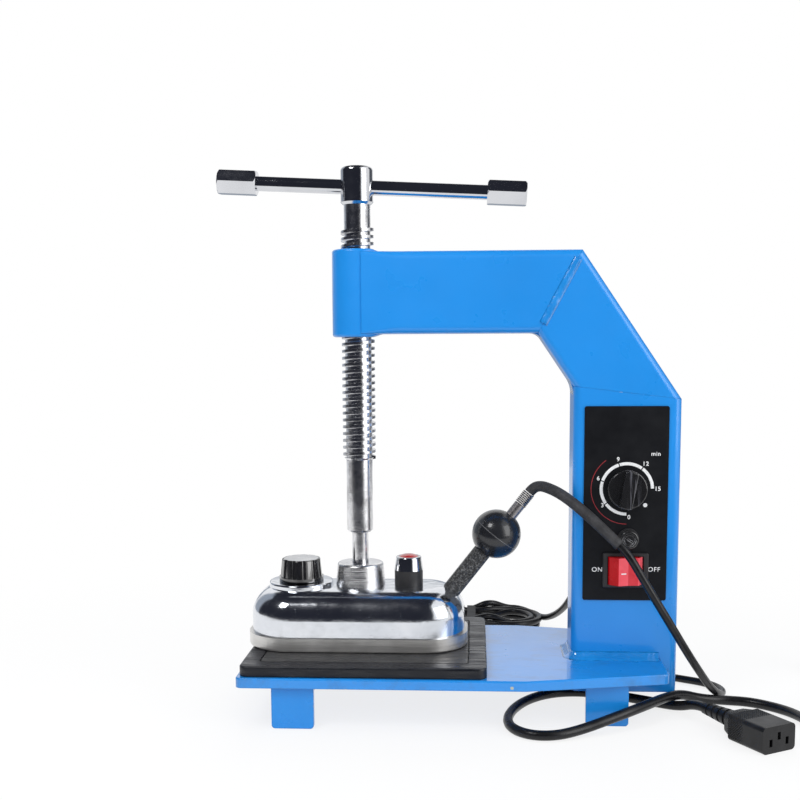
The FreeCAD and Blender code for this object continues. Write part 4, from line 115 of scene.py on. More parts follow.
class Nodes:
    """Short names for the nodes of one tree."""

    def __init__(self, owner):
        owner.use_nodes = True
        self.tree = owner.node_tree

    def node(self, kind, **settings):
        made = self.tree.nodes.new(kind)
        for key, value in settings.items():
            setattr(made, key, value)
        return made

    def wire(self, source, target):
        self.tree.links.new(source, target)

    def math(self, kind, a, b=None):
        made = self.node("ShaderNodeMath", operation=kind)
        for socket, value in zip(made.inputs, (a, b)):
            if isinstance(value, (int, float)):
                socket.default_value = value
            elif value is not None:
                self.wire(value, socket)
        return made.outputs["Value"]

    def map_range(self, value, before=(0.0, 1.0), after=(0.0, 1.0), interpolation="LINEAR"):
        made = self.node("ShaderNodeMapRange", interpolation_type=interpolation)
        made.inputs["From Min"].default_value = before[0]
        made.inputs["From Max"].default_value = before[1]
        made.inputs["To Min"].default_value = after[0]
        made.inputs["To Max"].default_value = after[1]
        self.wire(value, made.inputs["Value"])
        return made.outputs["Result"]

    def axes(self, vector):
        parts = self.node("ShaderNodeSeparateXYZ")
        self.wire(vector, parts.inputs["Vector"])
        return parts.outputs

    def backdrop_rays(self):
        """1 for the rays that show the backdrop, 0 for those that light the object."""
        path = self.node("ShaderNodeLightPath").outputs
        direct = self.math("MAXIMUM", path["Is Camera Ray"], path["Is Glossy Ray"])
        return self.math("MAXIMUM", direct, path["Is Transmission Ray"])

    def mixed(self, share, first, second):
        """The first shader where the share is 0, the second where it is 1."""
        made = self.node("ShaderNodeMixShader")
        self.wire(share, made.inputs["Fac"])
        self.wire(first, made.inputs[1])
        self.wire(second, made.inputs[2])
        return made.outputs["Shader"]


class Recipe(Nodes):
    """One principled material."""

    def __init__(self, name, colour, roughness, metallic=0.0):
        self.name = name
        self.material = bpy.data.materials.new("made_" + name)
        super().__init__(self.material)
        self.shader = self.tree.nodes["Principled BSDF"]
        self.shader.inputs["Base Color"].default_value = (*colour, 1.0)
        self.shader.inputs["Roughness"].default_value = roughness
        self.shader.inputs["Metallic"].default_value = metallic
        self.place = self.node("ShaderNodeTexCoord").outputs["Object"]
        self.normal = None

    def stretched(self, sx, sy, sz, turn=0.0):
        mapping = self.node("ShaderNodeMapping")
        mapping.inputs["Scale"].default_value = (sx, sy, sz)
        mapping.inputs["Rotation"].default_value = (0.0, turn, 0.0)
        self.wire(self.place, mapping.inputs["Vector"])
        return mapping.outputs["Vector"]

    def noise(self, scale, detail=3.0, rough=0.5, vector=None, distortion=0.0):
        made = self.node("ShaderNodeTexNoise")
        made.inputs["Scale"].default_value = scale
        made.inputs["Detail"].default_value = detail
        made.inputs["Roughness"].default_value = rough
        made.inputs["Distortion"].default_value = distortion
        self.wire(vector or self.place, made.inputs["Vector"])
        return made.outputs["Fac"]

    def cells(self, scale, vector=None):
        made = self.node("ShaderNodeTexVoronoi")
        made.inputs["Scale"].default_value = scale
        self.wire(vector or self.place, made.inputs["Vector"])
        return made.outputs["Distance"]

    def ramp(self, value, *stops):
        """A ramp of (position, grey or colour) stops."""
        made = self.node("ShaderNodeValToRGB")
        points = made.color_ramp.elements
        while len(points) < len(stops):
            points.new(1.0)
        for point, (position, shade) in zip(points, stops):
            colour = (shade, shade, shade) if isinstance(shade, (int, float)) else shade
            point.position = position
            point.color = (*colour, 1.0)
        self.wire(value, made.inputs["Fac"])
        return made.outputs["Color"]

    def blend(self, share, a, b):
        made = self.node("ShaderNodeMix", data_type="RGBA")
        self.wire(share, made.inputs["Factor"])
        for socket, value in ((made.inputs["A"], a), (made.inputs["B"], b)):
            if isinstance(value, tuple):
                socket.default_value = (*value, 1.0)
            else:
                self.wire(value, socket)
        return made.outputs["Result"]

    def vector_math(self, kind, a, b):
        """Of a socket with another socket or with a fixed vector."""
        made = self.node("ShaderNodeVectorMath", operation=kind)
        self.wire(a, made.inputs[0])
        if isinstance(b, Vector):
            made.inputs[1].default_value = b
        else:
            self.wire(b, made.inputs[1])
        return made.outputs

    def colour(self, output):
        self.wire(output, self.shader.inputs["Base Color"])

    def roughness(self, value, low, high):
        self.wire(self.map_range(value, after=(low, high)), self.shader.inputs["Roughness"])

    def bump(self, height, depth, strength=1.0):
        made = self.node("ShaderNodeBump")
        made.inputs["Distance"].default_value = depth
        made.inputs["Strength"].default_value = strength
        self.wire(height, made.inputs["Height"])
        if self.normal is not None:
            self.wire(self.normal, made.inputs["Normal"])
        self.shade_by(made.outputs["Normal"])

    def softened(self, radius):
        """Rounds the shading over sharp edges. It comes before the bumps."""
        made = self.node("ShaderNodeBevel", samples=6)
        made.inputs["Radius"].default_value = radius
        self.shade_by(made.outputs["Normal"])

    def shade_by(self, normal):
        self.normal = normal
        self.wire(normal, self.shader.inputs["Normal"])

    def coat(self, weight, roughness, ior=1.5):
        self.shader.inputs["Coat Weight"].default_value = weight
        self.shader.inputs["Coat Roughness"].default_value = roughness
        self.shader.inputs["Coat IOR"].default_value = ior

    def shine(self, level):
        self.shader.inputs["Specular IOR Level"].default_value = level

    def near(self, value, reach):
        """1 where a distance is 0, fading out at the given reach."""
        return self.map_range(value, (0.0, reach), (1.0, 0.0))

    def edges(self, radius):
        """1 close to an edge, 0 on flat surfaces."""
        rounded = self.node("ShaderNodeBevel", samples=4)
        rounded.inputs["Radius"].default_value = radius
        true = self.node("ShaderNodeNewGeometry").outputs["Normal"]
        product = self.vector_math("DOT_PRODUCT", rounded.outputs["Normal"], true)
        return self.math("SUBTRACT", 1.0, product["Value"])

    def distance_to(self, point):
        return self.vector_math("DISTANCE", self.place, point)["Value"]

    def away_from(self, point):
        return self.vector_math("SUBTRACT", self.place, point)["Vector"]

    def along(self, vector, direction):
        return self.vector_math("DOT_PRODUCT", vector, direction)["Value"]

    def facing(self, axis):
        """How far the surface faces along an axis, from -1 to 1."""
        return self.axes(self.node("ShaderNodeNewGeometry").outputs["Normal"])[axis]


PAINT_BLUE = (0.008, 0.232, 0.670)
BARE_METAL = (0.42, 0.44, 0.46)
CHIPPED = (0.40, 0.42, 0.34)
DIRT = (0.055, 0.060, 0.070)
CHIP_PLACE = at(110.4, -77.0, 32.4)
CHIP_REACH = 0.0040
CHIP_RAGGED = 0.0012
BALL_DARK = (0.012, 0.013, 0.016)
BALL_SEAM = (0.30, 0.30, 0.31)
SEAM_REACH = 0.00030
TIMER_DARK = (0.011, 0.011, 0.012)
# Pale tone of the painted sheen on the timer's grip
TIMER_SHEEN = (0.150, 0.150, 0.175)
TIMER_GRIP_X = at(197.0, 0.0, 0.0).x
TIMER_GRIP_REACH = 0.0060
HATCH_ACROSS = Vector((0.866, 0.5, 0.0))
HATCH_UP = Vector((0.0, 0.0, 1.0))
HATCH_PITCH = 3600.0
HATCH_MIDDLE = 0.040
HATCH_REACH = 0.012
HATCH_DEPTH = 0.0016
ACRYLIC_IOR = 1.49

materials = {}


def keep(recipe):
    materials[recipe.name] = recipe.material
    return recipe


def blue_paint(name, coat, coat_roughness, rounding, chip=None, dirt=0.0):
    """Sprayed gloss paint: slightly uneven in shade and surface, chipped here and there at the edges."""
    r = keep(Recipe(name, PAINT_BLUE, 0.32))
    r.softened(rounding)
    shade = r.ramp(r.noise(14.0, 2.0), (0.3, (0.007, 0.220, 0.640)), (0.7, (0.010, 0.244, 0.700)))
    worn_edge = r.ramp(r.edges(0.0008), (0.03, 0.0), (0.10, 1.0))
    spots = r.ramp(r.noise(210.0, 4.0), (0.66, 0.0), (0.69, 1.0))
    if dirt:
        cloudy = r.noise(26.0, 5.0, 0.7, r.stretched(1.0, 2.2, 1.0))
        shade = r.blend(r.ramp(cloudy, (0.50, 0.0), (0.72, dirt)), shade, DIRT)
    shade = r.blend(r.math("MULTIPLY", worn_edge, spots), shade, BARE_METAL)
    if chip:
        ragged = r.math("MULTIPLY", r.noise(900.0, 3.0), CHIP_RAGGED)
        closeness = r.near(r.math("ADD", r.distance_to(chip), ragged), CHIP_REACH)
        shade = r.blend(r.ramp(closeness, (0.54, 0.0), (0.62, 1.0)), shade, CHIPPED)
    r.colour(shade)
    r.roughness(r.noise(60.0, 3.0), 0.22, 0.38)
    r.bump(r.noise(260.0, 2.0), 0.00020, 0.25)
    r.bump(r.noise(38.0, 2.0), 0.0007, 0.18)
    r.shine(0.35)
    r.coat(coat, coat_roughness)


def weld_paint():
    """The same paint, thick and glossy over the ripples of a weld."""
    r = keep(Recipe("weld_paint", PAINT_BLUE, 0.20))
    r.softened(0.0012)
    r.colour(r.ramp(r.noise(45.0, 3.0), (0.3, (0.006, 0.205, 0.610)), (0.7, (0.012, 0.262, 0.720))))
    r.bump(r.noise(95.0, 2.0, 0.4), 0.0030, 0.9)
    r.bump(r.noise(210.0, 1.0), 0.0008, 0.45)
    r.coat(1.0, 0.03, 2.0)


def metal(name, colour, low, high, scale, waviness=0.0004):
    """Plated or bare metal, smudged and slightly uneven; low and high bound its roughness."""
    r = keep(Recipe(name, colour, (low + high) / 2, 1.0))
    dim = tuple(c * 0.86 for c in colour)
    r.colour(r.ramp(r.noise(scale * 0.25, 4.0, 0.6), (0.35, dim), (0.62, colour)))
    r.roughness(r.ramp(r.noise(scale, 5.0, 0.65), (0.30, 0.0), (0.75, 1.0)), low, high)
    r.bump(r.noise(scale * 6.0, 2.0, 0.5), waviness * 0.12, 0.35)
    r.bump(r.noise(scale * 0.5, 2.0), waviness, 0.35)


def cover_chrome():
    r = keep(Recipe("cover_chrome", (0.72, 0.75, 0.80), 0.10, 1.0))
    r.colour(r.ramp(r.noise(22.0, 4.0, 0.6), (0.3, (0.64, 0.67, 0.72)), (0.65, (0.80, 0.82, 0.86))))
    r.roughness(r.ramp(r.noise(34.0, 6.0, 0.75), (0.36, 0.0), (0.78, 1.0)), 0.085, 0.26)
    r.bump(r.noise(26.0, 3.0, 0.5), 0.0018, 0.28)
    r.bump(r.noise(130.0, 3.0, 0.6), 0.00026, 0.30)
    specks = r.ramp(r.cells(420.0), (0.03, 1.0), (0.07, 0.0))
    r.bump(specks, 0.00015, 0.5)
    r.bump(r.noise(420.0, 2.0), 0.00004, 0.3)


def turned_cup():
    """Steel with the fine rings of the lathe."""
    r = keep(Recipe("cup_steel", (0.84, 0.84, 0.85), 0.32, 1.0))
    r.colour(r.ramp(r.noise(60.0, 4.0, 0.6), (0.3, (0.74, 0.74, 0.75)), (0.7, (0.92, 0.92, 0.93))))
    rings = r.noise(30.0, 3.0, 0.6, r.stretched(0.6, 0.6, 60.0))
    r.roughness(r.noise(120.0, 4.0), 0.16, 0.36)
    r.bump(rings, 0.00030, 0.7)
    r.bump(r.noise(300.0, 3.0), 0.00018, 0.35)


def aluminium_plate():
    r = keep(Recipe("heater_aluminium", (0.84, 0.83, 0.81), 0.44, 0.82))
    streaks = r.noise(24.0, 4.0, 0.6, r.stretched(1.2, 1.2, 26.0))
    patches = r.ramp(r.noise(16.0, 3.0, 0.6), (0.42, 0.0), (0.62, 1.0))
    dull = r.ramp(streaks, (0.30, (0.44, 0.43, 0.42)), (0.70, (0.62, 0.61, 0.59)))
    r.colour(r.blend(patches, dull, (0.80, 0.79, 0.77)))
    r.roughness(r.noise(90.0, 4.0), 0.28, 0.48)
    r.bump(streaks, 0.00020, 0.6)
    pits = r.ramp(r.cells(520.0), (0.05, 0.0), (0.10, 1.0))
    r.bump(pits, 0.00016, 0.35)


def screw_steel():
    r = keep(Recipe("screw_steel", (0.72, 0.72, 0.74), 0.14, 1.0))
    wear_and_sheen = r.noise(85.0, 5.0, 0.65)
    r.colour(r.ramp(wear_and_sheen, (0.36, (0.50, 0.50, 0.51)), (0.60, (0.84, 0.84, 0.86))))
    r.roughness(r.noise(150.0, 4.0), 0.12, 0.34)
    r.bump(r.noise(40.0, 2.0, 0.5, r.stretched(1.0, 1.0, 40.0)), 0.00005, 0.5)
    r.bump(r.noise(520.0, 3.0), 0.00008, 0.4)


def rubber(name, dark, dust_and_top_light, scratch=0.00025):
    """Black rubber, paler in patches where it faces up from dust and painted light from above, with
    shiny streaks across.
    """
    r = keep(Recipe(name, dark, 0.62))
    r.softened(0.0013)
    # Faces turned up take the paler tone in patches: dust, and painted light from above.
    up = r.ramp(r.facing("Z"), (0.45, 0.0), (0.95, 1.0))
    top_patches = r.ramp(r.noise(55.0, 6.0, 0.7), (0.28, 0.25), (0.72, 1.0))
    r.colour(r.blend(r.math("MULTIPLY", up, top_patches), dark, dust_and_top_light))
    brushed = r.noise(60.0, 5.0, 0.7, r.stretched(0.5, 5.0, 5.0))
    r.roughness(r.ramp(brushed, (0.38, 0.0), (0.66, 1.0)), 0.16, 0.66)
    r.bump(r.noise(620.0, 3.0, 0.6), scratch, 0.35)
    r.bump(brushed, 0.0004, 0.35)
    r.shine(0.46)


def plastic(name, colour, low, high, grain=900.0, depth=0.00008, lighter=1.35):
    """Moulded plastic: a fine texture and slight shade changes; low and high bound its roughness."""
    r = keep(Recipe(name, colour, (low + high) / 2))
    pale = tuple(min(1.0, c * lighter + 0.002) for c in colour)
    r.softened(0.0004)
    r.colour(r.ramp(r.noise(70.0, 4.0, 0.6), (0.35, colour), (0.75, pale)))
    r.roughness(r.noise(110.0, 4.0, 0.6), low, high)
    r.bump(r.noise(grain, 2.0, 0.5), depth, 0.4)
    return r


def crinkle_paint():
    """Black paint that dried in fine crests, which are rubbed pale."""
    r = keep(Recipe("handle_paint", (0.020, 0.020, 0.021), 0.40))
    crests = r.noise(900.0, 3.0, 0.65, None, 0.8)
    r.colour(r.ramp(crests, (0.46, (0.014, 0.014, 0.015)), (0.66, (0.17, 0.17, 0.17))))
    r.roughness(r.noise(500.0, 3.0), 0.24, 0.50)
    r.bump(crests, 0.0009, 0.9)


def ball_plastic():
    """Glossy phenolic with the parting line of its mould square to the handle."""
    r = keep(Recipe("ball_black", BALL_DARK, 0.30))
    height = r.along(r.away_from(BALL_CENTRE), HANDLE_AXIS)
    seam = r.near(r.math("ABSOLUTE", height), SEAM_REACH)
    r.colour(r.blend(r.math("MULTIPLY", seam, r.noise(90.0, 3.0)), BALL_DARK, BALL_SEAM))
    r.roughness(r.ramp(r.noise(60.0, 5.0, 0.7), (0.35, 0.0), (0.8, 1.0)), 0.24, 0.44)
    r.shine(0.40)
    r.bump(seam, 0.00016, 0.8)
    r.bump(r.noise(180.0, 4.0, 0.6), 0.00006, 0.4)
    r.coat(0.50, 0.11)


def fuse_cap_plastic():
    """Glossy black with a painted highlight along the edges of its slot and groove."""
    r = keep(Recipe("fuse_cap_black", (0.016, 0.016, 0.017), 0.2))
    # Painted highlight: the edges of the slot and groove turn pale grey in spots, standing in for
    # glints.
    wear_and_sheen = r.ramp(r.edges(0.0007), (0.02, 0.0), (0.09, 1.0))
    spots = r.ramp(r.noise(190.0, 3.0), (0.40, 0.15), (0.58, 1.0))
    r.colour(r.blend(r.math("MULTIPLY", wear_and_sheen, spots), (0.014, 0.014, 0.015), (0.52, 0.52, 0.54)))
    r.roughness(r.noise(110.0, 4.0, 0.6), 0.10, 0.28)
    r.bump(r.noise(700.0, 2.0, 0.5), 0.00006, 0.4)
    r.coat(0.8, 0.06)


def timer_plastic():
    """Glossy black with fine pale streaks along the grip, painted in as a sheen."""
    r = keep(Recipe("timer_black", TIMER_DARK, 0.2))
    r.softened(0.0005)
    # Painted sheen: pale streaks near the grip's middle stand in for reflections.
    sheen_lines = r.ramp(r.noise(90.0, 4.0, 0.6, r.stretched(7.0, 1.0, 0.5, 0.10)), (0.48, 0.0), (0.66, 1.0))
    from_middle = r.math("ABSOLUTE", r.math("SUBTRACT", r.axes(r.place)["X"], TIMER_GRIP_X))
    wear_and_sheen = r.math("MULTIPLY", sheen_lines, r.near(from_middle, TIMER_GRIP_REACH))
    r.colour(r.blend(wear_and_sheen, TIMER_DARK, TIMER_SHEEN))
    r.roughness(r.noise(110.0, 4.0, 0.6), 0.10, 0.28)
    r.bump(r.noise(700.0, 2.0, 0.5), 0.00005, 0.4)
    r.coat(0.6, 0.06)


def panel_black():
    r = keep(Recipe("panel_black", (0.0060, 0.0066, 0.0085), 0.46))
    r.softened(0.0003)
    clouds = r.noise(40.0, 5.0, 0.65)
    r.colour(r.ramp(clouds, (0.35, (0.0045, 0.0050, 0.0068)), (0.72, (0.0090, 0.0098, 0.0120))))
    r.roughness(r.noise(160.0, 4.0, 0.6), 0.38, 0.56)
    r.bump(r.noise(1500.0, 2.0), 0.00005, 0.35)
    r.shine(0.16)


def rocker_plastic():
    """Moulded red, painted lighter on the faces turned to the right and darker on the others, as painted
    light and painted shade.
    """
    r = keep(Recipe("rocker_red", (0.56, 0.022, 0.030), 0.24))
    r.softened(0.0004)
    # Painted light: faces turned right (+X) take the lit red, the others the shaded red.
    raised = r.ramp(r.facing("X"), (0.02, 0.0), (0.10, 1.0))
    shaded_red = r.ramp(r.noise(80.0, 3.0), (0.3, (0.40, 0.002, 0.006)), (0.7, (0.50, 0.004, 0.009)))
    lit_red = r.ramp(r.noise(80.0, 3.0), (0.3, (0.74, 0.080, 0.105)), (0.7, (0.84, 0.120, 0.150)))
    r.colour(r.blend(raised, shaded_red, lit_red))
    r.roughness(r.noise(120.0, 3.0), 0.16, 0.34)
    r.bump(r.noise(600.0, 2.0), 0.00004, 0.4)
    r.shine(0.16)
    r.coat(0.10, 0.06)


def ink(name, colour):
    r = keep(Recipe(name, colour, 0.55))
    worn = tuple(c * 0.72 for c in colour)
    r.colour(r.ramp(r.noise(420.0, 4.0, 0.7), (0.30, worn), (0.50, colour)))
    r.bump(r.noise(1600.0, 2.0), 0.00003, 0.3)


def clear_or_tinted(name, colour, share, roughness):
    r = keep(Recipe(name, colour, roughness))
    r.shader.inputs["Transmission Weight"].default_value = share
    r.shader.inputs["IOR"].default_value = ACRYLIC_IOR
    r.colour(r.ramp(r.noise(260.0, 3.0), (0.35, tuple(c * 0.82 for c in colour)), (0.65, colour)))
    r.bump(r.noise(300.0, 2.0), 0.00008, 0.25)
    r.coat(0.7, 0.04)


def cord_sheath(name, colour, low, high):
    r = keep(Recipe(name, colour, (low + high) / 2))
    dust_and_top_light = tuple(c * 2.4 + 0.004 for c in colour)
    r.colour(r.ramp(r.noise(70.0, 5.0, 0.7), (0.42, colour), (0.80, dust_and_top_light)))
    r.roughness(r.noise(130.0, 4.0, 0.6), low, high)
    r.bump(r.noise(1100.0, 2.0), 0.00006, 0.4)
    r.bump(r.noise(120.0, 2.0), 0.0003, 0.18)
    r.shine(0.34)
    return r


def connector_plastic():
    """Moulded connector with a cross-hatched grip on its top and flanks."""
    r = cord_sheath("connector_black", (0.0070, 0.0070, 0.0080), 0.26, 0.46)
    away = r.away_from(CONNECTOR_SEAT)
    forward = r.along(away, CONNECTOR_HEADING)
    around = r.along(away, HATCH_ACROSS + HATCH_UP)
    ridges = []
    for kind in ("ADD", "SUBTRACT"):
        ridges.append(r.math("SINE", r.math("MULTIPLY", r.math(kind, forward, around), HATCH_PITCH)))
    hatch = r.math("MAXIMUM", ridges[0], ridges[1])
    middle = r.math("ABSOLUTE", r.math("SUBTRACT", forward, HATCH_MIDDLE))
    r.bump(r.math("MULTIPLY", hatch, r.near(middle, HATCH_REACH)), HATCH_DEPTH, 1.0)


def mica():
    r = keep(Recipe("heater_mica", (0.36, 0.27, 0.15), 0.45))
    flakes = r.cells(150.0, r.stretched(1.0, 1.0, 6.0))
    r.colour(r.ramp(flakes, (0.1, (0.28, 0.20, 0.11)), (0.6, (0.48, 0.38, 0.23))))
    r.bump(flakes, 0.0002, 0.4)
    r.coat(0.3, 0.2)


blue_paint("frame_paint", 0.45, 0.06, 0.0012)
blue_paint("plate_paint", 0.95, 0.04, 0.0010, CHIP_PLACE, 0.36)
weld_paint()
cover_chrome()
turned_cup()
aluminium_plate()
screw_steel()
crinkle_paint()
ball_plastic()
fuse_cap_plastic()
timer_plastic()
panel_black()
rocker_plastic()
mica()
connector_plastic()
metal("turned_steel", (0.55, 0.55, 0.56), 0.16, 0.36, 120.0)
metal("bar_chrome", (0.72, 0.73, 0.76), 0.05, 0.13, 60.0, 0.0002)
metal("end_chrome", (0.70, 0.71, 0.74), 0.07, 0.20, 90.0, 0.0003)
metal("zinc_steel", (0.58, 0.59, 0.58), 0.22, 0.45, 150.0)
metal("knob_insert", (0.74, 0.74, 0.75), 0.14, 0.32, 160.0)
metal("lamp_chrome", (0.72, 0.73, 0.75), 0.05, 0.18, 140.0)
metal("spring_steel", (0.34, 0.32, 0.31), 0.18, 0.36, 260.0)
metal("ferrule_steel", (0.40, 0.38, 0.38), 0.34, 0.52, 200.0)
metal("contact_brass", (0.62, 0.45, 0.20), 0.16, 0.36, 180.0)
rubber("pad_rubber", (0.005, 0.006, 0.010), (0.046, 0.046, 0.050))
rubber("inlay_rubber", (0.022, 0.023, 0.026), (0.078, 0.077, 0.076), 0.00018)
plastic("knob_black", (0.008, 0.008, 0.009), 0.10, 0.30, 700.0, 0.00005).coat(1.0, 0.04, 1.9)
plastic("device_black", (0.017, 0.017, 0.019), 0.34, 0.58)
plastic("device_grey", (0.22, 0.22, 0.21), 0.36, 0.60, lighter=1.12)
plastic("terminal_white", (0.70, 0.69, 0.64), 0.30, 0.55, lighter=1.06)
plastic("tie_black", (0.006, 0.006, 0.007), 0.34, 0.56).shine(0.15)
clear_or_tinted("lamp_lens", (0.52, 0.012, 0.016), 0.25, 0.10)
clear_or_tinted("fuse_glass", (0.85, 0.88, 0.88), 0.9, 0.03)
cord_sheath("cord_black", (0.0050, 0.0050, 0.0060), 0.20, 0.38)
cord_sheath("sleeve_black", (0.026, 0.026, 0.028), 0.46, 0.68)
ink("print_white", (0.78, 0.79, 0.80))
ink("print_red", (0.34, 0.016, 0.024))


def paint_with(obj, name):
    obj.data.materials.clear()
    obj.data.materials.append(materials[name])


SPECIAL = {
    "tommy_bar_ends": "end_chrome",
    "screw_cap": "end_chrome",
    "timer_knob": "timer_black",
    "mains_connector": "connector_black",
    "weld_beads": "weld_paint",
    "base_plate": "plate_paint",
    "cord_ferrule": "ferrule_steel",
    "fuse_cap": "fuse_cap_black",
}
for part in frame["record"]["subparts"]:
    name = part["node"]
    paint_with(nodes[name], SPECIAL.get(name, part["material_slot"]))


# Cords

HEAD_CORD = 0.0058
MAINS_CORD = 0.0070
SLEEVE = 0.0079
SLEEVE_BORE = 0.0063
CORD_STEPS = 10
CORD_ROUNDNESS = 5
SPRING_TIP = BALL_CENTRE + HANDLE_AXIS * 39.0 * MM
# Straight stretches at the ends of the routes, in metres
SLEEVE_START = 4.5 * MM
DROP_START = 8.0 * MM
HANK_STRAIGHT = Vector((0.012, 0.0, 0.0))
COIL_START = 0.012
COIL_END = 0.014
CONNECTOR_STRAIGHT = 0.010
PLUG_STRAIGHT = 0.012


def smooth_line(name, points, diameter=0.0):
    """A curve of one open smooth spline over the route's points."""
    data = bpy.data.curves.new(name, "CURVE")
    data.dimensions = "3D"
    data.resolution_u = CORD_STEPS
    data.bevel_depth = diameter / 2
    data.bevel_resolution = CORD_ROUNDNESS
    data.use_fill_caps = diameter > 0
    spline = data.splines.new("NURBS")
    spline.points.add(len(points) - 1)
    for control, point in zip(spline.points, points):
        control.co = (*point, 1.0)
    spline.order_u = 3
    spline.use_endpoint_u = True
    return link_object(bpy.data.objects.new(name, data))


def as_mesh(curve, name):
    """The mesh of a curve object, as a new object; the curve is removed."""
    bpy.context.view_layer.update()
    graph = bpy.context.evaluated_depsgraph_get()
    mesh = bpy.data.meshes.new_from_object(curve.evaluated_get(graph))
    mesh.name = name
    bpy.data.objects.remove(curve)
    made = link_object(bpy.data.objects.new(name, mesh))
    for face in mesh.polygons:
        face.use_smooth = True
    return made


def line_of(points):
    """The cord's middle line, read from the smooth spline over the route's points."""
    bare = as_mesh(smooth_line("line", points), "line")
    read = [v.co.copy() for v in bare.data.vertices]
    bpy.data.objects.remove(bare)
    return read


# From the spring's tip over the bend down to the sleeve's mouth
sleeve_points = [
    SPRING_TIP,
    SPRING_TIP + HANDLE_AXIS * SLEEVE_START,
    at(132.4, -2.6, 161.6),
    at(137.6, -7.4, 160.9),
    at(145.4, -16.2, 158.2),
    at(154.8, -25.0, 152.2),
    at(164.4, -32.4, 144.6),
    at(174.4, -39.0, 135.6),
    at(185.6, -44.2, 125.0),
]
sleeve_mouth = sleeve_points[-1]
sleeve_end_heading = (sleeve_points[-1] - sleeve_points[-2]).normalized()

# From the sleeve's mouth down past the panel and along the bench to the hank
drop_points = [
    sleeve_mouth,
    sleeve_mouth + sleeve_end_heading * DROP_START,
    at(200.0, -48.6, 104.6),
    at(210.6, -48.4, 87.0),
    at(222.0, -46.6, 68.4),
    at(233.6, -39.4, 49.4),
    at(245.6, -27.8, 31.0),
    at(256.4, -13.6, 15.4),
    at(267.2, 1.6, 4.4),
    at(273.5, 18.5, 2.9),
    at(265.5, 35.5, 2.9),
    at(247.0, 46.5, 2.9),
    at(226.0, 58.0, 2.9),
    at(206.0, 79.0, 2.9),
    at(190.0, 104.5, 2.9),
    at(175.5, 132.0, 2.9),
    at(154.0, 156.5, 3.4),
]

HANK_X = 82.0
HANK_Y = 210.0
HANK_HALF_RUN = 34.0
HANK_DRAW_IN = 10.0
HANK_LOW = 4.3
HANK_HIGH = 10.7
# Distance of each run from the hank's middle line
HANK_OFFSETS = (33.2, 29.4, 25.6, 21.8, 21.8, 29.4, 29.4, 37.0)
HANK_LAYER = len(HANK_OFFSETS) // 2
HANK_RUN_SHARES = (-1.0, -0.5, 0.0, 0.5, 1.0)
HANK_TURN_STEPS = 8
HANK_TWIST = 60.0
HANK_LIFT = 4.0


def eased(share):
    """Smooth rise from 0 to 1."""
    return share * share * (3 - 2 * share)


def run_points(k, side, offset, start_z, end_z):
    """One run of the hank, drawn in at the tie and twisted about the runs beside it."""
    points = []
    mid_z = (HANK_LOW + HANK_HIGH) / 2
    mid_offset = sum(HANK_OFFSETS[k % 2::2]) / HANK_LAYER
    for share in HANK_RUN_SHARES:
        drawn = HANK_DRAW_IN * (1 + math.cos(math.pi * share)) / 2
        z = start_z + (end_z - start_z) * eased((share + 1) / 2)
        swing = math.sin(math.pi * share)
        turn = math.radians(HANK_TWIST) * swing
        out = (offset - mid_offset) * math.cos(turn) - (z - mid_z) * math.sin(turn)
        up = (offset - mid_offset) * math.sin(turn) + (z - mid_z) * math.cos(turn)
        y = HANK_Y + side * (mid_offset + out - drawn)
        z = mid_z + up + HANK_LIFT * abs(swing)
        points.append(at(HANK_X + side * share * HANK_HALF_RUN, y, z))
    return points


def half_turn_points(side, offset, after, z):
    """The half turn from one run of the hank to the next."""
    points = []
    reach = (offset + after) / 2 / math.cos(math.pi / (2 * HANK_TURN_STEPS))
    middle = HANK_Y + side * (offset - after) / 2
    for i in range(1, HANK_TURN_STEPS):
        angle = math.pi * i / HANK_TURN_STEPS
        x = HANK_X + side * (HANK_HALF_RUN + reach * math.sin(angle))
        points.append(at(x, middle + side * reach * math.cos(angle), z))
    return points


def hank_points():
    """Runs with half turns between them, in two layers."""
    points = []
    side = -1
    for k, offset in enumerate(HANK_OFFSETS):
        start_z = HANK_LOW if k < HANK_LAYER else HANK_HIGH
        end_z = HANK_LOW if k + 1 < HANK_LAYER else HANK_HIGH
        points += run_points(k, side, offset, start_z, end_z)
        if k + 1 < len(HANK_OFFSETS):
            points += half_turn_points(side, offset, HANK_OFFSETS[k + 1], end_z)
        side = -side
    return points


# From the hank up behind the column to the gland
riser_points = [
    at(142.5, 233.0, 8.0),
    at(149.0, 213.0, 9.5),
    at(155.5, 192.0, 16.0),
    at(162.0, 168.0, 27.0),
    at(166.5, 144.0, 40.5),
    at(170.0, 122.0, 56.0),
    at(171.5, 101.0, 71.0),
    at(172.5, 84.0, 88.0),
    at(173.0, 70.0, 102.0),
    at(173.0, 59.2, 108.0),
    at(173.0, 49.2, 108.0),
]
hank = hank_points()
hank_in = hank[0] + HANK_STRAIGHT
hank_out = hank[-1] + HANK_STRAIGHT

COIL_X = 368.0
COIL_Y = -52.0
COIL_RADIUS = 47.0
COIL_STEP = 7.6
COIL_INWARD = 2.5
COIL_CLIMB = 0.5
COIL_TURNS = 2 * COIL_INWARD + COIL_CLIMB
COIL_ENTRY = 206.0
COIL_LOW = 4.9
COIL_HIGH = 12.5
COIL_DIP = 1.4
COIL_POINT_STEP = 20.0


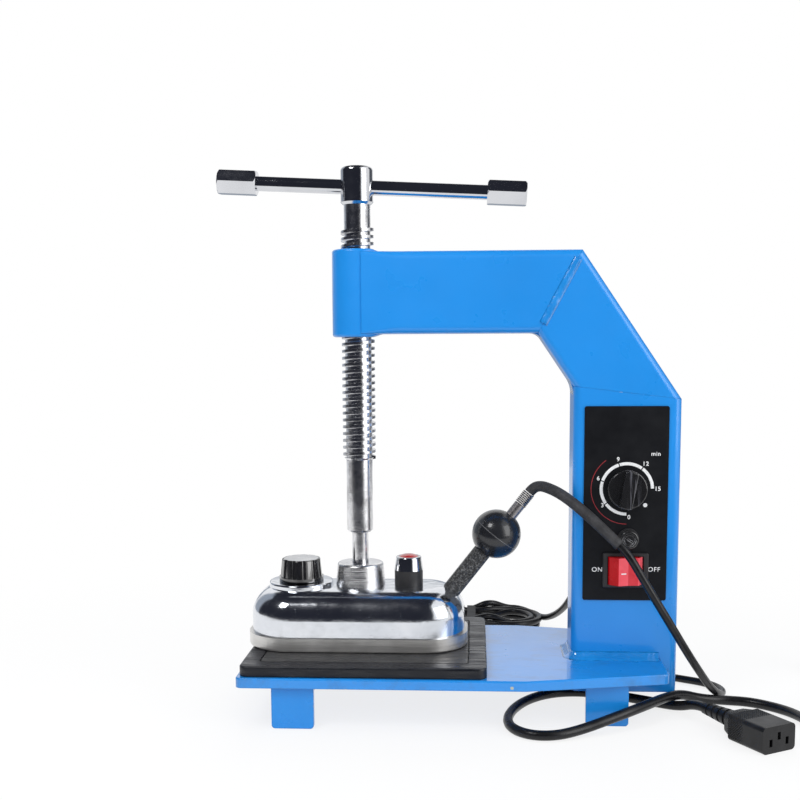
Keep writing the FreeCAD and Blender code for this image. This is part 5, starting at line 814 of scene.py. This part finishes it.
def coil_place(turns):
    """Place on the coil after so many turns: in, half a turn of climb, and out again."""
    if turns <= COIL_INWARD:
        radius = COIL_RADIUS - COIL_STEP * turns
        z = COIL_LOW
    elif turns <= COIL_INWARD + COIL_CLIMB:
        share = (turns - COIL_INWARD) / COIL_CLIMB
        radius = COIL_RADIUS - COIL_STEP * COIL_INWARD - COIL_DIP * math.sin(math.pi * share)
        z = COIL_LOW + (COIL_HIGH - COIL_LOW) * eased(share)
    else:
        radius = COIL_RADIUS - COIL_STEP * (COIL_TURNS - turns)
        z = COIL_HIGH
    radius /= math.cos(math.radians(COIL_POINT_STEP / 2))
    angle = math.radians(COIL_ENTRY + 360 * turns)
    return at(COIL_X + radius * math.cos(angle), COIL_Y + radius * math.sin(angle), z)


def coil_points():
    count = round(COIL_TURNS * 360 / COIL_POINT_STEP)
    return [coil_place(COIL_TURNS * i / count) for i in range(count + 1)]


coil = coil_points()
coil_heading_in = (coil[1] - coil[0]).normalized()
coil_heading_out = (coil[-1] - coil[-2]).normalized()
connector_start = CONNECTOR_SEAT
connector_axis = CONNECTOR_HEADING.normalized()
plug_tail = at(398.5, 22.0, 17.5)
plug_axis = Vector((-0.30, 0.954, 0.0)).normalized()
# From the connector to the left, round in front of the foot and back over its start to the coil
mains_points = [
    connector_start,
    connector_start - connector_axis * CONNECTOR_STRAIGHT,
    at(232.5, -24.0, 3.8),
    at(215.5, -13.5, 3.5),
    at(197.5, -3.0, 3.5),
    at(179.0, 5.0, 3.5),
    at(160.0, 8.5, 3.5),
    at(142.0, 4.0, 3.5),
    at(126.0, -9.5, 3.5),
    at(114.0, -30.0, 3.5),
    at(107.5, -54.0, 3.5),
    at(110.0, -75.0, 3.5),
    at(122.5, -88.0, 3.5),
    at(140.0, -88.0, 3.5),
    at(158.0, -79.0, 5.0),
    at(176.5, -71.5, 9.5),
    at(194.5, -61.5, 13.0),
    at(208.0, -48.0, 13.4),
    at(219.5, -33.5, 12.8),
    at(234.0, -20.0, 12.0),
    at(251.0, -11.5, 5.6),
    at(269.0, -7.5, 3.5),
    at(286.0, -10.5, 3.5),
    at(300.5, -21.5, 3.5),
    at(311.0, -36.5, 3.9),
]
mains_points += [coil[0] - coil_heading_in * COIL_START] + coil
mains_points += [coil[-1] + coil_heading_out * COIL_END, at(404.0, -2.0, 14.0)]
mains_points += [plug_tail - plug_axis * PLUG_STRAIGHT, plug_tail]


sleeve_line = line_of(sleeve_points)
sleeve = as_mesh(smooth_line("handle_sleeve", sleeve_points, SLEEVE), "handle_sleeve")
# A hollow tube: the end caps go, and the wall gets its thickness inwards.
shape = bmesh.new()
shape.from_mesh(sleeve.data)
caps = [face for face in shape.faces if len(face.verts) > 4]
bmesh.ops.delete(shape, geom=caps, context="FACES")
shape.to_mesh(sleeve.data)
shape.free()
wall = sleeve.modifiers.new("wall", "SOLIDIFY")
wall.thickness = (SLEEVE - SLEEVE_BORE) / 2
wall.offset = -1.0
paint_with(sleeve, "sleeve_black")
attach(sleeve, "head")
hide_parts("cord_sleeve", "head_cord_inner")

head_cord_points = drop_points + [hank_in] + hank + [hank_out] + riser_points
head_line = line_of(head_cord_points)
head_cord = as_mesh(smooth_line("head_cord", head_cord_points, HEAD_CORD), "head_cord")
paint_with(head_cord, "cord_black")
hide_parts("head_cord_drop", "head_cord_hank", "head_cord_riser")
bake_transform(head_cord)

mains_line = line_of(mains_points)
mains_cord = smooth_line("mains_cord", mains_points, MAINS_CORD)
paint_with(mains_cord, "cord_black")
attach(mains_cord, "frame")
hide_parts("mains_lead", "mains_coil", "mains_tail")


# Print on the control panel

PRINT_Y = -19.76
TIMER_CENTRE = (193.1, 161.6)
SCALE_RING = (17.0, 19.2)
SCALE_FIRST = -90
SCALE_STEP = 54
SCALE_STEPS = 5
SCALE_GAP = 1.2
RED_RING = (25.1, 25.5)
RED_ARC = (126, 270)
RING_STEP = 3
STEADY_MARK = (206.3, 150.0)
STEADY_RADIUS = 1.5
DISC_CORNERS = 24
DIGIT_SIZE = 4.2
SWITCH_WORD_SIZE = 4.7
DIGIT_WEIGHT = 0.08
UNIT_WEIGHT = 0.05
SWITCH_WORD_WEIGHT = 0.01
LETTER_SPACING = 1.12
PRINT_THICKNESS = 0.00002


def flat_text(words, size, x, z, weight):
    """Lettering that stands on the panel, as a mesh."""
    data = bpy.data.curves.new("words", "FONT")
    data.body = words
    data.size = size * MM
    data.align_x = "CENTER"
    data.align_y = "CENTER"
    data.extrude = PRINT_THICKNESS
    data.offset = weight * MM
    data.space_character = LETTER_SPACING
    made = link_object(bpy.data.objects.new("words", data))
    made.matrix_world = Matrix.Translation(at(x, PRINT_Y, z)) @ Matrix.Rotation(math.pi / 2, 4, "X")
    bpy.context.view_layer.update()
    world = made.matrix_world.copy()
    graph = bpy.context.evaluated_depsgraph_get()
    mesh = bpy.data.meshes.new_from_object(made.evaluated_get(graph))
    mesh.transform(world)
    bpy.data.objects.remove(made)
    return mesh


def on_panel(centre, radius, angle):
    x, z = centre
    return at(x + radius * math.cos(angle), PRINT_Y, z + radius * math.sin(angle))


def band(shape, radii, first, last, index=0):
    """Part of a flat ring round the timer; angles run counter-clockwise from the right, in degrees."""
    steps = max(2, int(abs(last - first) / RING_STEP))
    rows = []
    for i in range(steps + 1):
        angle = math.radians(first + (last - first) * i / steps)
        rows.append([shape.verts.new(on_panel(TIMER_CENTRE, radius, angle)) for radius in radii])
    for a, b in zip(rows, rows[1:]):
        face = shape.faces.new((a[0], a[1], b[1], b[0]))
        face.material_index = index


def disc(shape, centre, radius):
    angles = [math.tau * i / DISC_CORNERS for i in range(DISC_CORNERS)]
    shape.faces.new([shape.verts.new(on_panel(centre, radius, angle)) for angle in angles])


def panel_print():
    shape = bmesh.new()
    for step in range(SCALE_STEPS):
        first = SCALE_FIRST - SCALE_STEP * step - (SCALE_GAP if step else 0.0)
        last = SCALE_FIRST - SCALE_STEP * (step + 1) + SCALE_GAP
        band(shape, SCALE_RING, first, last)
    disc(shape, STEADY_MARK, STEADY_RADIUS)
    for words, x, z in (
        ("0", 194.9, 141.2),
        ("3", 176.0, 149.7),
        ("6", 172.8, 169.1),
        ("9", 186.7, 182.7),
        ("12", 206.1, 179.6),
        ("15", 214.9, 161.7),
    ):
        shape.from_mesh(flat_text(words, DIGIT_SIZE, x, z, DIGIT_WEIGHT))
    shape.from_mesh(flat_text("min", DIGIT_SIZE, 213.2, 186.7, UNIT_WEIGHT))
    for words, x, z in (("ON", 172.9, 103.0), ("OFF", 213.4, 103.3)):
        shape.from_mesh(flat_text(words, SWITCH_WORD_SIZE, x, z, SWITCH_WORD_WEIGHT))
    band(shape, RED_RING, *RED_ARC, 1)
    made = mesh_object("panel_print", shape)
    made.data.materials.append(materials["print_white"])
    made.data.materials.append(materials["print_red"])
    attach(made, "frame")


panel_print()

MARK_SIGHT = at(191.0, -60.0, 101.5)
MARK_LIFT = 0.00005
MARK_HALF_LENGTH = 0.0019
MARK_HALF_WIDTH = 0.0004


def rocker_mark():
    """The short white stroke on the rocker's raised face."""
    rocker = nodes["switch_rocker"]
    to_rocker = rocker.matrix_world.inverted()
    start = to_rocker @ MARK_SIGHT
    heading = (to_rocker.to_3x3() @ Vector((0.0, 1.0, 0.0))).normalized()
    place, normal = rocker.ray_cast(start, heading)[1:3]
    normal = (rocker.matrix_world.to_3x3() @ normal).normalized()
    along = Vector((0.0, 0.0, 1.0)).cross(normal).normalized()
    up = normal.cross(along)
    lifted = rocker.matrix_world @ place + normal * MARK_LIFT
    shape = bmesh.new()
    corners = []
    for side, height in ((-1, -1), (1, -1), (1, 1), (-1, 1)):
        corner = lifted + along * side * MARK_HALF_LENGTH + up * height * MARK_HALF_WIDTH
        corners.append(shape.verts.new(corner))
    shape.faces.new(corners)
    made = mesh_object("rocker_mark", shape)
    paint_with(made, "print_white")
    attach(made, "rocker")


rocker_mark()


# Studio

FLOOR_SIZE = 24.0
FLOOR_DROP = -0.0002
FLOOR_TINT = (0.88, 0.88, 0.88, 1.0)
FLOOR_GLOW = 0.80
FLOOR_FADE = (0.22, 0.62)
ROOM_DARK = (0.022, 0.024, 0.034)
ROOM_GREY = (0.10, 0.11, 0.13)
ROOM_PALE = (0.34, 0.38, 0.44)
WORLD_LIGHT = (0.95, 0.97, 1.0, 1.0)
WORLD_LEVEL = 0.50
WHITE = (1.0, 1.0, 1.0, 1.0)


def empty_nodes(owner):
    made = Nodes(owner)
    made.tree.nodes.clear()
    return made


def floor_material():
    """White to the camera and in reflections; near the object it takes light and the shadow as well."""
    made = bpy.data.materials.new("floor_white")
    n = empty_nodes(made)
    diffuse = n.node("ShaderNodeBsdfDiffuse")
    diffuse.inputs["Color"].default_value = FLOOR_TINT
    glow = n.node("ShaderNodeEmission")
    glow.inputs["Strength"].default_value = 1.0
    place = n.node("ShaderNodeTexCoord").outputs["Object"]
    away = n.node("ShaderNodeVectorMath", operation="LENGTH")
    n.wire(place, away.inputs[0])
    fade = n.map_range(away.outputs["Value"], FLOOR_FADE, (FLOOR_GLOW, 1.0), "SMOOTHSTEP")
    share = n.math("MULTIPLY", n.backdrop_rays(), fade)
    surface = n.mixed(share, diffuse.outputs[0], glow.outputs[0])
    n.wire(surface, n.node("ShaderNodeOutputMaterial").inputs["Surface"])
    return made


def flat_sheet(name, width, depth, matrix, material):
    mesh = bpy.data.meshes.new(name)
    w = width / 2
    d = depth / 2
    mesh.from_pydata([(-w, -d, 0), (w, -d, 0), (w, d, 0), (-w, d, 0)], [], [(0, 1, 2, 3)])
    mesh.materials.append(material)
    made = link_object(bpy.data.objects.new(name, mesh))
    made.matrix_world = matrix
    return made


floor_place = Matrix.Translation((0, 0, FLOOR_DROP))
flat_sheet("studio_floor", FLOOR_SIZE, FLOOR_SIZE, floor_place, floor_material())


def card_material(name, width, height, soft, colour):
    """Plain in the middle and clear at the rim, so that a card's reflection has a soft edge."""
    made = bpy.data.materials.new(name)
    n = empty_nodes(made)
    place = n.axes(n.node("ShaderNodeTexCoord").outputs["Object"])
    inward = []
    for axis, half in (("X", width / 2), ("Y", height / 2)):
        size = n.math("ABSOLUTE", place[axis])
        inward.append(n.map_range(size, (half, half - soft), interpolation="SMOOTHSTEP"))
    clear = n.node("ShaderNodeBsdfTransparent")
    shade = n.node("ShaderNodeEmission")
    shade.inputs["Color"].default_value = (*colour, 1.0)
    surface = n.mixed(n.math("MULTIPLY", *inward), clear.outputs[0], shade.outputs[0])
    n.wire(surface, n.node("ShaderNodeOutputMaterial").inputs["Surface"])
    return made


def aimed(place, target, front):
    """Placed there, with its front axis towards the target."""
    turn = (Vector(target) - Vector(place)).to_track_quat(front, "Y")
    return Matrix.Translation(place) @ turn.to_matrix().to_4x4()


def card(name, place, target, width, height, soft=0.25, colour=ROOM_DARK):
    """A card that only shows in reflections, as the room around a light table does."""
    material = card_material(name, width, height, soft, colour)
    made = flat_sheet(name, width, height, aimed(place, target, "Z"), material)
    made.visible_camera = False
    made.visible_diffuse = False
    made.visible_shadow = False
    made.visible_transmission = False


card("card_front", (-0.55, -1.10, 1.05), (-0.55, 0.0, 1.05), 2.8, 2.5)
card("card_left", (-1.60, -0.45, 1.05), (0.0, -0.45, 1.05), 2.0, 2.5)
card("card_left_back", (-1.45, 0.80, 0.80), (0.0, 0.0, 0.80), 1.2, 2.4, colour=ROOM_PALE)
card("card_right_back", (1.05, 0.80, 0.70), (0.0, 0.0, 0.70), 1.2, 1.9, soft=0.20, colour=ROOM_GREY)
card("card_above", (-0.50, 0.10, 1.90), (-0.50, 0.10, 0.0), 2.8, 3.1)
card("card_low", (-0.30, -0.88, 0.002), (-0.30, -0.88, 1.0), 2.8, 1.0, soft=0.12)
card("card_behind", (0.0, 1.60, 0.20), (0.0, 0.0, 0.20), 2.6, 0.50, soft=0.10, colour=ROOM_PALE)


def soft_lamp(name, place, target, width, height, power, reflected=False):
    data = bpy.data.lights.new(name, "AREA")
    data.shape = "RECTANGLE"
    data.size = width
    data.size_y = height
    data.energy = power
    made = link_object(bpy.data.objects.new(name, data))
    made.matrix_world = aimed(place, target, "-Z")
    made.visible_glossy = reflected


soft_lamp("lamp_front", (-0.15, -1.25, 0.95), (0.0, 0.0, 0.15), 1.5, 1.1, power=8.0)
soft_lamp("lamp_left", (-0.52, -0.61, 0.97), (-0.1, 0.0, 0.08), 0.32, 0.32, power=3.2, reflected=True)
soft_lamp("lamp_right", (1.25, -0.80, 0.62), (0.05, 0.0, 0.15), 0.8, 1.2, power=9.0, reflected=True)
soft_lamp("lamp_above", (0.0, 0.10, 1.70), (0.0, 0.0, 0.1), 1.4, 1.2, power=4.0)
soft_lamp("lamp_back", (0.10, 1.30, 0.85), (0.0, 0.0, 0.15), 1.4, 1.0, power=8.0)


def background(n, colour, level):
    made = n.node("ShaderNodeBackground")
    made.inputs["Color"].default_value = colour
    made.inputs["Strength"].default_value = level
    return made.outputs["Background"]


world = bpy.data.worlds.new("studio")
bpy.context.scene.world = world
sky = empty_nodes(world)
lit = background(sky, WORLD_LIGHT, WORLD_LEVEL)
seen = background(sky, WHITE, 1.0)
surroundings = sky.mixed(sky.backdrop_rays(), lit, seen)
sky.wire(surroundings, sky.node("ShaderNodeOutputWorld").inputs["Surface"])

bpy.context.scene.view_settings.view_transform = "Standard"
